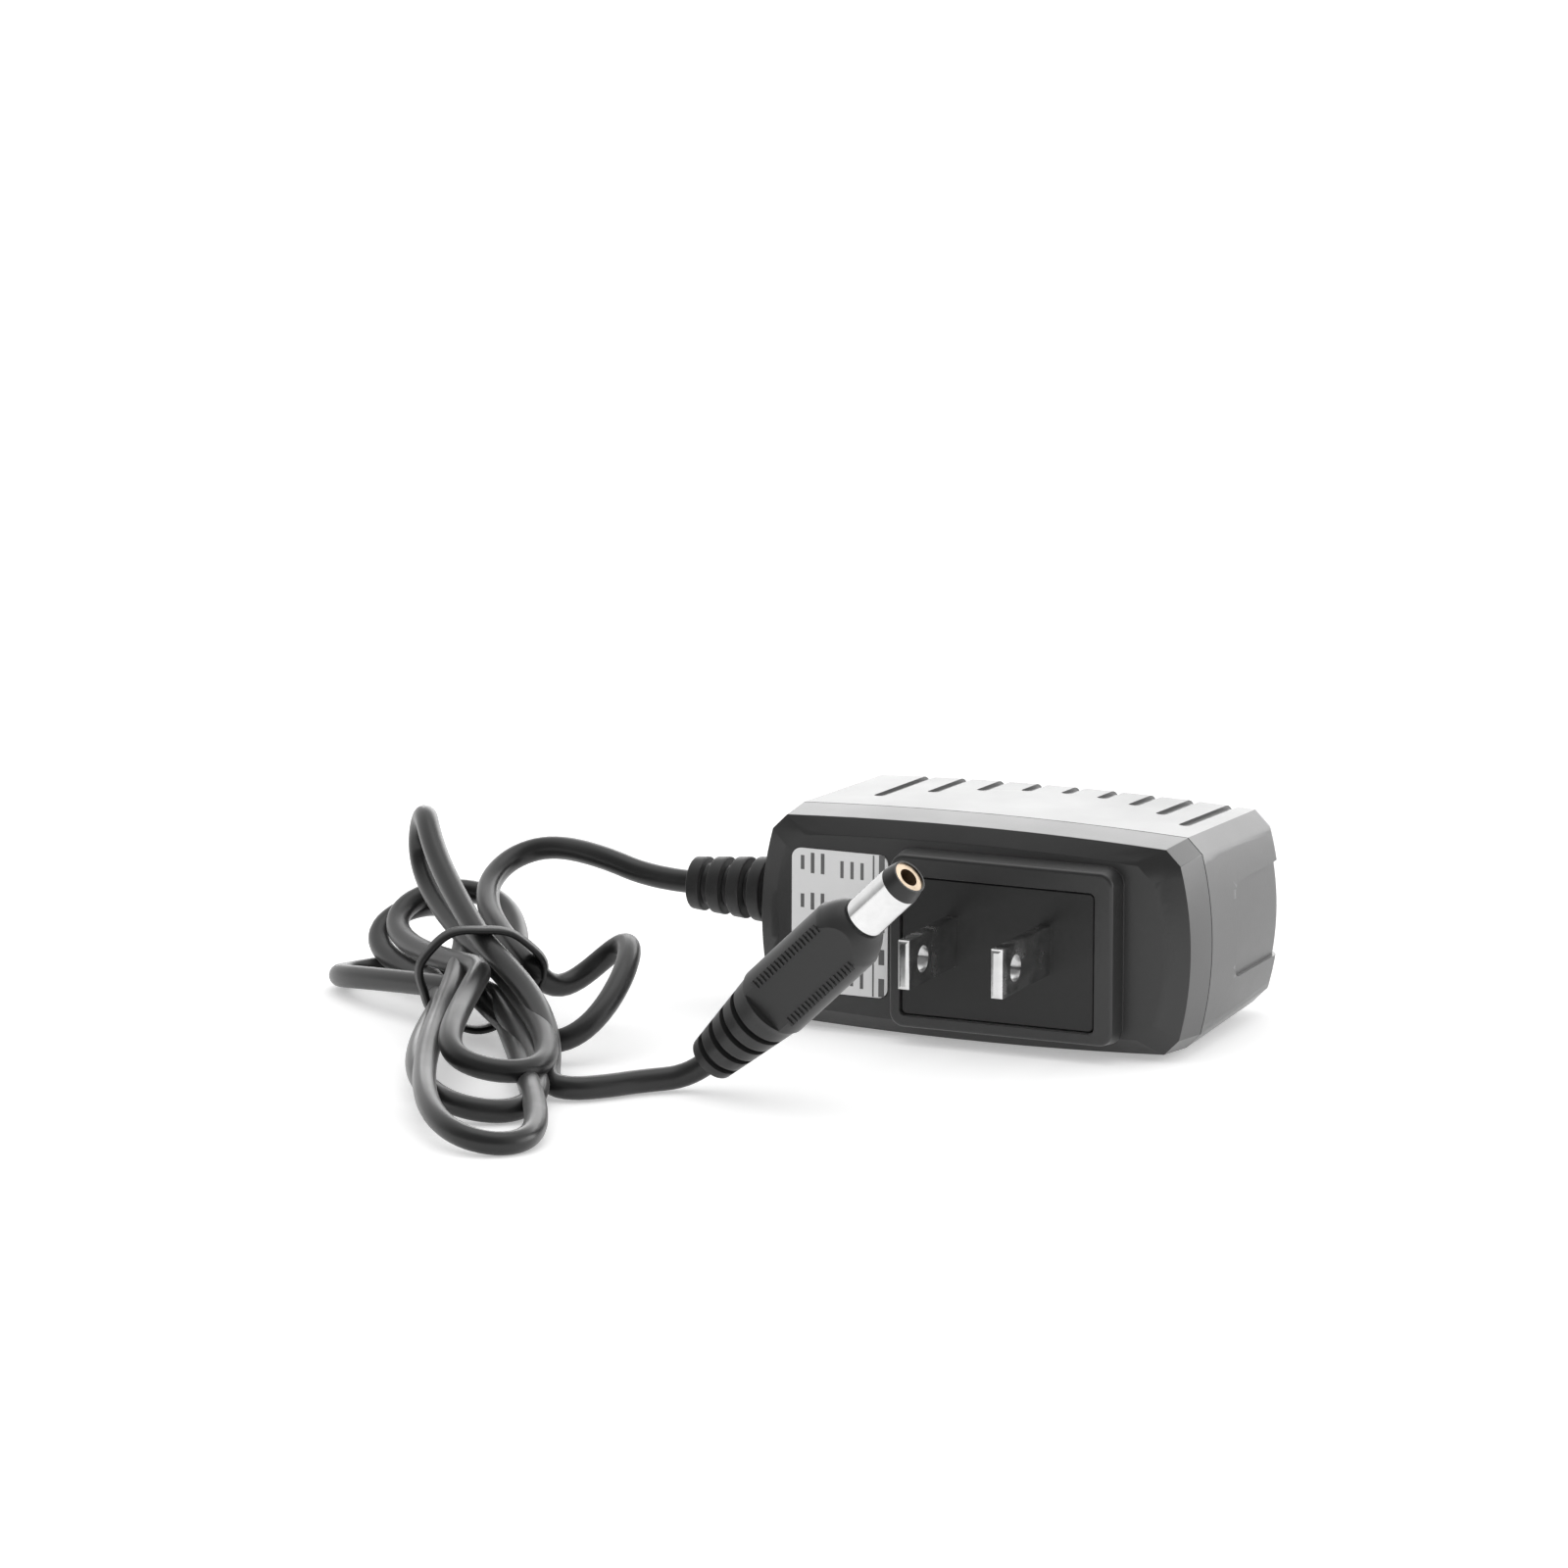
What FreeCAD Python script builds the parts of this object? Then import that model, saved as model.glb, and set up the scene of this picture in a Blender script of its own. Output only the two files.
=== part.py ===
"""Wall power adapter with two blades, a thin tied-up cord and a barrel plug.

The part frame has +X to the right along the housing, +Y away from the blades and +Z up,
with the origin at the middle of the foot of the housing. Inside the housing, places are
counted from the front rim: depth runs backwards from the rim's edge, height from mid-height.
"""
import FreeCAD, Part
import math
import os
import re

import Sketcher

doc = FreeCAD.newDocument("power_adapter")
sheet = doc.addObject("Spreadsheet::Sheet", "Sizes")

SIZES = {
    # Outline of the housing, across its front rim and at its seam
    "rim_length": 59.4, "rim_height": 28.0, "side_crown": 0.7, "end_crown": 1.5,
    "corner_cut": 2.0, "seam_flare": 0.4,
    # Depths of the housing, from the front face to the back
    "face_rise": 1.7, "face_inset_height": 2.0, "face_inset_length": 3.2, "rim_depth": 6.3,
    "rear_depth": 27.0, "rear_taper_height": 1.0, "rear_taper_length": 0.4, "rear_round": 3.0,
    "wall": 2.0, "seam_gap": 0.12, "lip_thickness": 0.9, "lip_height": 1.4, "fit_gap": 0.1,
    # Grip grooves on top and bottom, and the thumb flats at the ends
    "groove_depth": 0.45, "groove_width": 1.5, "groove_pitch": 5.3, "groove_x": 1.8,
    "groove_start_mid": 20.0, "groove_start_edge": 8.0,
    "thumb_start": 9.0, "thumb_height": 12.5, "thumb_corner": 2.0,
    # Raised block round the blades, with its window
    "block_x": 5.5, "block_z": -0.7, "block_length": 30.6, "block_height": 22.4,
    "block_reach": 3.0, "block_draft": 7.0, "block_corner": 2.2, "block_edge": 0.5,
    "window_x": 5.0, "window_z": -1.3, "window_length": 26.8, "window_height": 18.3,
    "window_corner": 0.8, "window_sink": 0.35,
    # Insert that carries the blades
    "carrier_flange": 1.0, "carrier_flange_depth": 1.3, "carrier_groove": 0.2,
    # Blades of the usual two-pin pattern
    "blade_x": 5.1, "blade_z": -0.1, "blade_spacing": 12.7, "blade_height": 6.35,
    "blade_thickness": 1.55, "blade_length": 15.9, "blade_tail": 2.4, "blade_tip_edge": 0.45,
    "blade_hole": 3.5, "blade_hole_setback": 4.6,
    "contact_thickness": 0.4, "contact_height": 4.6, "contact_gap": 0.05,
    # Rating label, from the left edge of the flat face
    "label_margin": 1.8, "label_z": 0.15, "label_length": 13.4, "label_height": 18.7,
    "label_corner": 1.3, "label_thickness": 0.25, "label_sink": 0.15,
    # Circuit board, by the room it leaves in the housing
    "board_room_left": 5.7, "board_room_right": 2.7, "board_room_side": 1.5,
    "board_thickness": 1.6, "board_corner": 2.5, "board_depth": 5.0,
    "post_inset": 2.4, "post_diameter": 3.6,
    "stop_inset": 0.8, "stop_length": 1.4, "stop_overlap": 1.2, "stop_depth": 15.0,
    # The board size that the following places and sizes are stated for, from its middle
    "layout_length": 47.0, "layout_height": 21.0,
    "core_length": 16.0, "core_height": 16.0, "core_depth": 5.0, "core_leg": 4.0,
    "core_window": 3.6, "core_yoke": 2.5, "core_x": 2.1, "core_lift": 7.0,
    "bobbin_wall": 0.6, "bobbin_flange": 1.0, "winding_height": 10.6, "winding_depth": 11.6,
    "bulk_diameter": 10.0, "bulk_length": 20.0, "bulk_x": 15.5, "bulk_z": 4.6,
    "output_diameter": 8.0, "output_length": 12.0, "output_x": -15.0, "output_z": 5.2,
    "can_waist_start": 1.2, "can_waist_width": 1.0, "can_waist_depth": 0.35, "can_edge": 0.5,
    "choke_diameter": 8.0, "choke_length": 9.0, "choke_x": 15.5, "choke_z": -5.6,
    "choke_flange": 1.4, "choke_recess": 0.6,
    "fuse_diameter": 3.6, "fuse_length": 8.0, "fuse_x": 21.5, "fuse_z": -5.6,
    "bridge_length": 2.6, "bridge_height": 6.6, "bridge_depth": 8.0, "bridge_x": 22.1,
    "bridge_z": 3.6, "disc_diameter": 8.0, "disc_thickness": 3.2, "disc_x": -8.3, "disc_z": -5.0,
    "disc_leg_spacing": 4.8,
    "opto_length": 3.4, "opto_height": 4.6, "opto_depth": 6.4, "opto_x": -8.3, "opto_z": 4.6,
    "chip_length": 5.0, "chip_height": 4.0, "chip_depth": 1.6, "chip_x": -15.5, "chip_z": -3.0,
    "diode_diameter": 4.0, "diode_length": 9.0, "diode_x": -21.4, "diode_leg_inset": 0.8,
    "leg_diameter": 1.0, "leg_length": 1.0,
    # Cord and the relief that holds it in the left end
    "cord_diameter": 3.0, "relief_z": 1.7, "relief_length": 11.8, "relief_root": 8.8,
    "relief_tip": 6.8, "relief_core": 5.0, "relief_slot": 1.1, "relief_neck": 6.0,
    "relief_shoulder": 0.4, "relief_collar": 8.4, "relief_collar_length": 1.6,
    "relief_collar_gap": 0.9, "relief_straight": 6.0, "core_wire": 1.1, "core_wire_spacing": 1.76,
    # Barrel plug: its moulding from the cord's end to the nose
    "plug_x": -18.9, "plug_y": -45.9, "plug_z": 4.7, "plug_turn": -13.1, "plug_rise": 41.9,
    "plug_roll": 17.0, "plug_straight": 4.2,
    "plug_tail_length": 10.5, "plug_tail_diameter": 8.8, "plug_tail_end": 6.2,
    "plug_shoulder": 2.0, "plug_grip_length": 16.1, "plug_grip_diameter": 9.8,
    "plug_grip_edge": 0.5, "plug_front_length": 2.8, "plug_front_diameter": 7.0, "plug_flat": 1.1,
    "plug_slot": 0.9, "plug_slot_pitch": 2.7, "plug_slot_start": 1.3, "plug_slot_core": 4.8,
    "plug_web": 1.6,
    # The plug's metal, from the nose to the tip
    "barrel_diameter": 5.5, "barrel_bore": 2.5, "barrel_length": 9.5, "barrel_wall": 0.45,
    "barrel_ring": 2.0, "barrel_ring_end": 4.7, "barrel_seat": 3.0, "barrel_step": 0.5,
    "barrel_clear": 0.4, "sleeve_wall": 0.3, "sleeve_flange": 4.2, "sleeve_flange_length": 0.5,
    "sleeve_sink": 0.2,
    # Twist tie round the waist of the hank
    "tie_thickness": 1.1, "tie_width": 3.0,
}
RELIEF_RIBS = 4
GROOVES = 9
ROUNDING_STEPS = 4
PLUG_SLOTS = 4

for row, (alias, size) in enumerate(SIZES.items(), start=1):
    sheet.set(f"A{row}", alias)
    sheet.set(f"B{row}", str(size))
    sheet.setAlias(f"B{row}", alias)
doc.recompute()

WORDS = re.compile(r"\b(" + "|".join(sorted(SIZES, key=len, reverse=True)) + r")\b")


def bound(text):
    """A formula of size names, as the document's expressions write it."""
    return WORDS.sub(r"Sizes.\1", str(text))


def number(text):
    """What a formula of size names comes to."""
    result = sheet.evalExpression(bound(text))
    return float(getattr(result, "Value", result))


# Formulas that several pieces share
SEAM_HALF_LENGTH = "(rim_length / 2 + seam_flare)"
SEAM_HALF_HEIGHT = "(rim_height / 2 + seam_flare)"
REAR = "(rim_depth + rear_depth)"
TIP = "(face_rise + block_reach - window_sink + blade_length)"
MIDDLE_DEPTH = f"(({REAR} - {TIP}) / 2)"
BLOCK_FACE = "(face_rise + block_reach)"
PANEL_FACE = "(face_rise + block_reach - window_sink)"
INNER_FACE = "(wall - face_rise)"
CARRIER_BACK = f"({INNER_FACE} + carrier_flange_depth)"
BOARD_BACK = "(board_depth + board_thickness)"
LABEL_X = "(face_inset_length + label_margin + label_length / 2 - rim_length / 2)"
BOARD_LEFT = "(board_room_left + wall - rim_length / 2)"
BOARD_RIGHT = "(rim_length / 2 - wall - board_room_right)"
BOARD_X = f"(({BOARD_LEFT} + {BOARD_RIGHT}) / 2)"
BOARD_LENGTH = f"({BOARD_RIGHT} - {BOARD_LEFT})"
BOARD_HEIGHT = "(rim_height - 2 * (wall + board_room_side))"
# How far the parts on the board shrink together where it has less room than the layout
CLOSER = f"min({BOARD_LENGTH} / layout_length; {BOARD_HEIGHT} / layout_height; 1)"


def vector(x, y, z):
    return f"create(<<vector>>; {bound(x)}; {bound(y)}; {bound(z)})"


def place(piece, x="0", y="0", z="0", turns=("0", "0", "0")):
    """Puts a piece at formulas for x, depth and height, turned by yaw, pitch and roll in degrees."""
    yaw, pitch, roll = (bound(turn) for turn in turns)
    turn = f"create(<<rotation>>; {yaw}; {pitch}; {roll})"
    piece.setExpression("Placement", f"create(<<placement>>; {vector(x, y, z)}; {turn})")
    return piece


def in_housing(piece, x="0", y="0", z="0", turns=("0", "0", "0")):
    """Puts a piece by its depth behind the rim and its height above the middle of the housing."""
    return place(piece, x, f"{y} - {MIDDLE_DEPTH}", f"{z} + {SEAM_HALF_HEIGHT}", turns)


def body(label):
    made = doc.addObject("PartDesign::Body", label)
    made.Label = label
    return made


def sketch(owner, name, role, height="0"):
    """A sketch on one of a body's own origin planes, raised along that plane's normal."""
    made = owner.newObject("Sketcher::SketchObject", name)
    plane = [face for face in owner.Origin.OriginFeatures if face.Role == role][0]
    made.AttachmentSupport = [(plane, "")]
    made.MapMode = "FlatFace"
    made.setExpression("AttachmentOffset.Base.z", bound(height))
    return made


def outline(drawing, corners):
    """A closed outline: corners are (x, y, rise), rise being the bulge of the edge that follows."""
    spots = [FreeCAD.Vector(number(x), number(y), 0) for x, y, rise in corners]
    count = len(corners)
    first = drawing.GeometryCount
    for index, (x, y, rise) in enumerate(corners):
        start = spots[index]
        end = spots[(index + 1) % count]
        if number(rise) == 0:
            drawing.addGeometry(Part.LineSegment(start, end), False)
            continue
        along = (end - start).normalize()
        top = (start + end) * 0.5 + FreeCAD.Vector(along.y, -along.x, 0) * number(rise)
        drawing.addGeometry(Part.Arc(start, top, end), False)
    for index, (x, y, rise) in enumerate(corners):
        edge = first + index
        following = first + (index + 1) % count
        drawing.addConstraint(Sketcher.Constraint("Coincident", edge, 2, following, 1))
        for kind, formula, spot in (("DistanceX", x, spots[index].x), ("DistanceY", y, spots[index].y)):
            line = drawing.addConstraint(Sketcher.Constraint(kind, -1, 1, edge, 1, spot))
            drawing.setExpression(f"Constraints[{line}]", bound(formula))
        if number(rise) != 0:
            next_x, next_y, _ = corners[(index + 1) % count]
            chord = f"(({next_x} - ({x}))^2 + ({next_y} - ({y}))^2)"
            formula = f"({chord} / 4 + ({rise})^2) / (2 * ({rise}))"
            line = drawing.addConstraint(Sketcher.Constraint("Radius", edge, number(formula)))
            drawing.setExpression(f"Constraints[{line}]", bound(formula))
    return drawing


def circle(drawing, diameter, x="0", y="0"):
    spot = FreeCAD.Vector(number(x), number(y), 0)
    edge = drawing.addGeometry(Part.Circle(spot, FreeCAD.Vector(0, 0, 1), number(diameter) / 2), False)
    line = drawing.addConstraint(Sketcher.Constraint("Diameter", edge, number(diameter)))
    drawing.setExpression(f"Constraints[{line}]", bound(diameter))
    for kind, formula, value in (("DistanceX", x, spot.x), ("DistanceY", y, spot.y)):
        line = drawing.addConstraint(Sketcher.Constraint(kind, -1, 1, edge, 3, value))
        drawing.setExpression(f"Constraints[{line}]", bound(formula))
    return drawing


def rounded_rectangle(drawing, length, height, corner, x="0", y="0"):
    """A rectangle about (x, y) whose corners are quarter circles."""
    right, top = f"({length}) / 2", f"({height}) / 2"
    rise = f"({corner}) * (1 - sqrt(0.5))"
    corners = []
    for side, level, flip in ((1, -1, 0), (1, 1, 1), (-1, 1, 0), (-1, -1, 1)):
        near = (f"{x} + {side} * ({right} - ({corner}))", f"{y} + {level} * ({top})")
        far = (f"{x} + {side} * ({right})", f"{y} + {level} * ({top} - ({corner}))")
        first, second = (far, near) if flip else (near, far)
        corners.append((first[0], first[1], rise))
        corners.append((second[0], second[1], "0"))
    return outline(drawing, corners)


def rectangle(drawing, left, bottom, right, top):
    return outline(drawing, [(left, bottom, "0"), (right, bottom, "0"), (right, top, "0"), (left, top, "0")])


def housing_outline(drawing, half_length, half_height):
    """The housing's cross-section: crowned sides and ends, with cut corners."""
    end_x, end_z = f"({half_length} - end_crown)", f"({half_height} - side_crown - corner_cut)"
    side_x, side_z = f"({half_length} - end_crown - corner_cut)", f"({half_height} - side_crown)"
    return outline(drawing, [
        (end_x, f"-{end_z}", "end_crown"), (end_x, end_z, "0"),
        (side_x, side_z, "side_crown"), (f"-{side_x}", side_z, "0"),
        (f"-{end_x}", end_z, "end_crown"), (f"-{end_x}", f"-{end_z}", "0"),
        (f"-{side_x}", f"-{side_z}", "side_crown"), (side_x, f"-{side_z}", "0")])


def loft(owner, name, first, others, cut=False, smooth=False):
    kind = "PartDesign::SubtractiveLoft" if cut else "PartDesign::AdditiveLoft"
    made = owner.newObject(kind, name)
    made.Profile = first
    made.Sections = others
    made.Ruled = not smooth
    return made


def pad(owner, drawing, length, backwards=False):
    made = owner.newObject("PartDesign::Pad", drawing.Name + "_pad")
    made.Profile = drawing
    made.setExpression("Length", bound(length))
    made.Reversed = backwards
    return made


def pocket(owner, drawing, depth, backwards=False):
    made = owner.newObject("PartDesign::Pocket", drawing.Name + "_pocket")
    made.Profile = drawing
    made.setExpression("Length", bound(depth))
    made.Reversed = backwards
    return made


def round_edges(owner, name, base, radius, wanted, kind="Fillet"):
    """Rounds or bevels the edges of a feature that a test picks."""
    doc.recompute()
    edges = [f"Edge{index + 1}" for index, edge in enumerate(base.Shape.Edges) if wanted(edge)]
    if not edges:
        raise ValueError(f"{name} finds no edge")
    made = owner.newObject(f"PartDesign::{kind}", name)
    made.Base = (base, edges)
    made.setExpression("Radius" if kind == "Fillet" else "Size", bound(radius))
    return made


def box(label, length, depth, height):
    made = doc.addObject("Part::Box", label)
    made.Label = label
    for name, formula in (("Length", length), ("Width", depth), ("Height", height)):
        made.setExpression(name, bound(formula))
    return made


def cylinder(label, diameter, length):
    made = doc.addObject("Part::Cylinder", label)
    made.Label = label
    made.setExpression("Radius", bound(f"({diameter}) / 2"))
    made.setExpression("Height", bound(length))
    return made


def joined(label, pieces):
    made = doc.addObject("Part::MultiFuse", label)
    made.Label = label
    made.Shapes = pieces
    return made


def less(label, base, tool):
    made = doc.addObject("Part::Cut", label)
    made.Label = label
    made.Base = base
    made.Tool = tool
    return made


def group_of(label, pieces):
    """Several like pieces, kept apart, under one name."""
    made = doc.addObject("Part::Compound", label)
    made.Label = label
    made.Links = pieces
    return made


def block_in_housing(label, x, y, z, length, depth, height):
    """A box about x and z whose front is at depth y."""
    return in_housing(box(label, length, depth, height), f"{x} - ({length}) / 2", y, f"{z} - ({height}) / 2")


def post_in_housing(label, x, y, z, diameter, length):
    """A cylinder that runs backwards from depth y."""
    return in_housing(cylinder(label, diameter, length), x, y, z, ("0", "0", "-90"))


def closer(size):
    """A size or place of the board's layout, on a board that may be smaller than the layout."""
    return f"(({size}) * {CLOSER})"


def on_board(piece, x, y, z, turns=("0", "0", "0")):
    """Puts a piece by its place in the layout: from the board's middle and off its back."""
    return in_housing(piece, f"{BOARD_X} + {closer(x)}", f"{BOARD_BACK} + {closer(y)}", closer(z), turns)


def block_on_board(label, x, y, z, length, depth, height):
    made = box(label, closer(length), closer(depth), closer(height))
    return on_board(made, f"{x} - ({length}) / 2", y, f"{z} - ({height}) / 2")


def post_on_board(label, x, z, diameter, length):
    made = cylinder(label, closer(diameter), closer(length))
    return on_board(made, x, "0", z, ("0", "0", "-90"))


def shell_solid(label, front, back, front_size, back_size, rounding=None):
    """A block with the housing's outline, from one depth and size to another, with its back rounded."""
    made = body(label)
    full = f"({back} - {rounding})" if rounding else back
    near = housing_outline(sketch(made, f"{label}_near", "XZ_Plane", f"-({front})"), *front_size)
    far = housing_outline(sketch(made, f"{label}_far", "XZ_Plane", f"-({full})"), *back_size)
    loft(made, f"{label}_block", near, [far])
    if rounding:
        rings = []
        for step in range(ROUNDING_STEPS + 1):
            angle = 90 * step / ROUNDING_STEPS
            depth = f"({full} + {rounding} * sin({angle} deg))"
            inset = f"({rounding} * (1 - cos({angle} deg)))"
            ring = sketch(made, f"{label}_ring_{step}", "XZ_Plane", f"-{depth}")
            rings.append(housing_outline(ring, *shrunk(*back_size, inset)))
        loft(made, f"{label}_rounding", rings[0], rings[1:], smooth=True)
    return in_housing(made)


def shrunk(half_length, half_height, by):
    return (f"({half_length} - ({by}))", f"({half_height} - ({by}))")


SEAM = (SEAM_HALF_LENGTH, SEAM_HALF_HEIGHT)
REAR_END = (f"({SEAM_HALF_LENGTH} - rear_taper_length)", f"({SEAM_HALF_HEIGHT} - rear_taper_height)")
RIM = ("(rim_length / 2)", "(rim_height / 2)")
FACE = ("(rim_length / 2 - face_inset_length)", "(rim_height / 2 - face_inset_height)")


def relief_hole(label):
    """The round hole that both shells leave at the seam for the cord's relief."""
    hole = cylinder(label, "relief_neck + 2 * fit_gap", "3 * wall")
    return in_housing(hole, f"2 * wall - {SEAM_HALF_LENGTH}", "rim_depth", "relief_z", ("0", "-90", "0"))


def grip_cutters():
    """Grooves for the fingers on top and bottom, and one broad flat through both ends."""
    cutters = []
    middle = (GROOVES - 1) / 2
    tall = "rim_height + 10"
    for index in range(GROOVES):
        step = index - middle
        share = (step / middle) ** 2
        start = f"(rim_depth + groove_start_mid - (groove_start_mid - groove_start_edge) * {share})"
        across = f"groove_x + groove_pitch * {step}"
        slot = box(f"groove_{index}", "groove_width", f"rear_depth + 5 - ({start} - rim_depth)", tall)
        in_housing(slot, f"{across} - groove_width / 2", start, f"-({tall}) / 2")
        end = cylinder(f"groove_end_{index}", "groove_width", tall)
        in_housing(end, across, start, f"-({tall}) / 2")
        cutters += [slot, end]
    thumb = body("thumb_flat")
    drawing = sketch(thumb, "thumb_outline", "YZ_Plane", f"-({SEAM_HALF_LENGTH} + 5)")
    front, back = "rim_depth + thumb_start", f"{REAR} + 5"
    low, high = "-thumb_height / 2", "thumb_height / 2"
    rise = "thumb_corner * (1 - sqrt(0.5))"
    outline(drawing, [
        (f"{front} + thumb_corner", low, "0"), (back, low, "0"), (back, high, "0"),
        (f"{front} + thumb_corner", high, rise), (front, f"{high} - thumb_corner", "0"),
        (front, f"{low} + thumb_corner", rise)])
    pad(thumb, drawing, f"2 * ({SEAM_HALF_LENGTH} + 5)")
    cutters.append(in_housing(thumb))
    return joined("grip_cutters", cutters)


def rear_shell():
    """The deep cup of the housing: its grooves keep one depth because a smaller core fills them."""
    front = "rim_depth + seam_gap"
    outer = shell_solid("rear_outer", front, REAR, SEAM, REAR_END, "rear_round")
    core = shell_solid("rear_core", front, f"{REAR} - 0.01", shrunk(*SEAM, "groove_depth"),
                       shrunk(*REAR_END, "groove_depth"), "rear_round")
    hollow = shell_solid("rear_hollow", front, f"{REAR} - wall", shrunk(*SEAM, "wall"),
                         shrunk(*REAR_END, "wall"))
    gripped = less("rear_gripped", outer, grip_cutters())
    solid = joined("rear_solid", [gripped, core])
    cup = less("rear_cup", solid, hollow)
    stops = []
    reach = f"({SEAM_HALF_HEIGHT} - wall + stop_overlap - {BOARD_HEIGHT} / 2)"
    for side in (-1, 1):
        x = f"{BOARD_X} + {side} * ({BOARD_LENGTH} / 2 - stop_inset)"
        for level in (-1, 1):
            z = f"{level} * ({BOARD_HEIGHT} / 2 - stop_overlap + ({reach} + stop_overlap / 2) / 2)"
            name = f"board_stop_{side + 1}_{level + 1}"
            stops.append(block_in_housing(name, x, f"{BOARD_BACK} + fit_gap", z,
                                          "stop_length", "stop_depth", f"{reach} + stop_overlap / 2"))
    with_stops = joined("rear_with_stops", [cup] + stops)
    trimmed = less("rear_trimmed", with_stops, relief_hole("rear_relief_hole"))
    lip_room = shell_solid("lip_room", "rim_depth - 1", "rim_depth + lip_height + fit_gap",
                           shrunk(*SEAM, "wall - lip_thickness - fit_gap"),
                           shrunk(*SEAM, "wall - lip_thickness - fit_gap"))
    return less("rear_shell", trimmed, lip_room)


def front_shell():
    """The shallow front cover: bevelled face, raised block with its window, label bed and posts."""
    made = body("front_cover")
    back = housing_outline(sketch(made, "cover_back", "XZ_Plane", "-rim_depth"), *SEAM)
    rim = housing_outline(sketch(made, "cover_rim", "XZ_Plane", "0"), *RIM)
    loft(made, "cover_band", back, [rim])
    rim_again = housing_outline(sketch(made, "cover_bevel_foot", "XZ_Plane", "0"), *RIM)
    face = housing_outline(sketch(made, "cover_face", "XZ_Plane", "face_rise"), *FACE)
    loft(made, "cover_bevel", rim_again, [face])
    root = "tan(block_draft) * block_reach"
    raised = sketch(made, "block_outline", "XZ_Plane", "face_rise")
    rounded_rectangle(raised, f"block_length + 2 * {root}", f"block_height + 2 * {root}",
                      "block_corner", "block_x", "block_z")
    block = pad(made, raised, "block_reach")
    block.setExpression("TaperAngle", bound("-block_draft"))
    top = -number(BLOCK_FACE)
    round_edges(made, "block_rounding", block, "block_edge",
                lambda edge: abs(edge.BoundBox.YMin - top) < 0.01 and abs(edge.BoundBox.YMax - top) < 0.01)
    inside = housing_outline(sketch(made, "cover_inside_back", "XZ_Plane", "-rim_depth"),
                             *shrunk(*SEAM, "wall"))
    floor = housing_outline(sketch(made, "cover_inside_floor", "XZ_Plane", f"-{INNER_FACE}"),
                            *shrunk(*RIM, "wall"))
    loft(made, "cover_hollow", inside, [floor], cut=True)
    window = sketch(made, "window_outline", "XZ_Plane", f"{BLOCK_FACE} + 1")
    rounded_rectangle(window, "window_length", "window_height", "window_corner", "window_x", "window_z")
    pocket(made, window, f"{BLOCK_FACE} + {INNER_FACE} + 2")
    bed = sketch(made, "label_bed", "XZ_Plane", "face_rise")
    rounded_rectangle(bed, "label_length + fit_gap", "label_height + fit_gap", "label_corner",
                      LABEL_X, "label_z")
    pocket(made, bed, "label_sink")
    in_housing(made)
    posts = []
    for side in (-1, 1):
        for level in (-1, 1):
            x = f"{BOARD_X} + {side} * ({BOARD_LENGTH} / 2 - post_inset)"
            z = f"{level} * ({BOARD_HEIGHT} / 2 - post_inset)"
            foot = f"({INNER_FACE} - wall / 4)"
            posts.append(post_in_housing(f"board_post_{side + 1}_{level + 1}", x, foot, z,
                                         "post_diameter", f"board_depth - {foot}"))
    lip_outer = shell_solid("lip_outer", "rim_depth - 1.5", "rim_depth + lip_height",
                            shrunk(*SEAM, "wall - lip_thickness"), shrunk(*SEAM, "wall - lip_thickness"))
    lip_inner = shell_solid("lip_inner", "rim_depth - 2", "rim_depth + lip_height + 1",
                            shrunk(*SEAM, "wall"), shrunk(*SEAM, "wall"))
    lip = less("cover_lip", lip_outer, lip_inner)
    whole = joined("cover_with_posts", [made, lip] + posts)
    return less("front_shell", whole, relief_hole("front_relief_hole"))


def blade_carrier():
    """The moulded insert that fills the window, with a flange behind it and a fine parting groove."""
    made = body("carrier_block")
    seat = sketch(made, "carrier_face", "XZ_Plane", PANEL_FACE)
    rounded_rectangle(seat, "window_length - 2 * fit_gap", "window_height - 2 * fit_gap",
                      "window_corner", "window_x", "window_z")
    plug = pad(made, seat, f"{PANEL_FACE} + {INNER_FACE}", backwards=True)
    face = -number(PANEL_FACE)
    round_edges(made, "carrier_edge", plug, "carrier_groove",
                lambda edge: abs(edge.BoundBox.YMin - face) < 0.01 and abs(edge.BoundBox.YMax - face) < 0.01,
                kind="Chamfer")
    rim = sketch(made, "carrier_rim", "XZ_Plane", f"-{INNER_FACE}")
    rounded_rectangle(rim, "window_length + 2 * carrier_flange", "window_height + 2 * carrier_flange",
                      "window_corner", "window_x", "window_z")
    pad(made, rim, "carrier_flange_depth", backwards=True)
    for side in (-1, 1):
        slot = sketch(made, f"blade_slot_{side + 1}", "XZ_Plane", f"{PANEL_FACE} + 1")
        middle = f"blade_x + {side} * blade_spacing / 2"
        rectangle(slot, f"{middle} - blade_thickness / 2", "blade_z - blade_height / 2",
                  f"{middle} + blade_thickness / 2", "blade_z + blade_height / 2")
        pocket(made, slot, f"{PANEL_FACE} + {CARRIER_BACK} + 2")
    made.Label = "blade_carrier"
    return in_housing(made)


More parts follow.
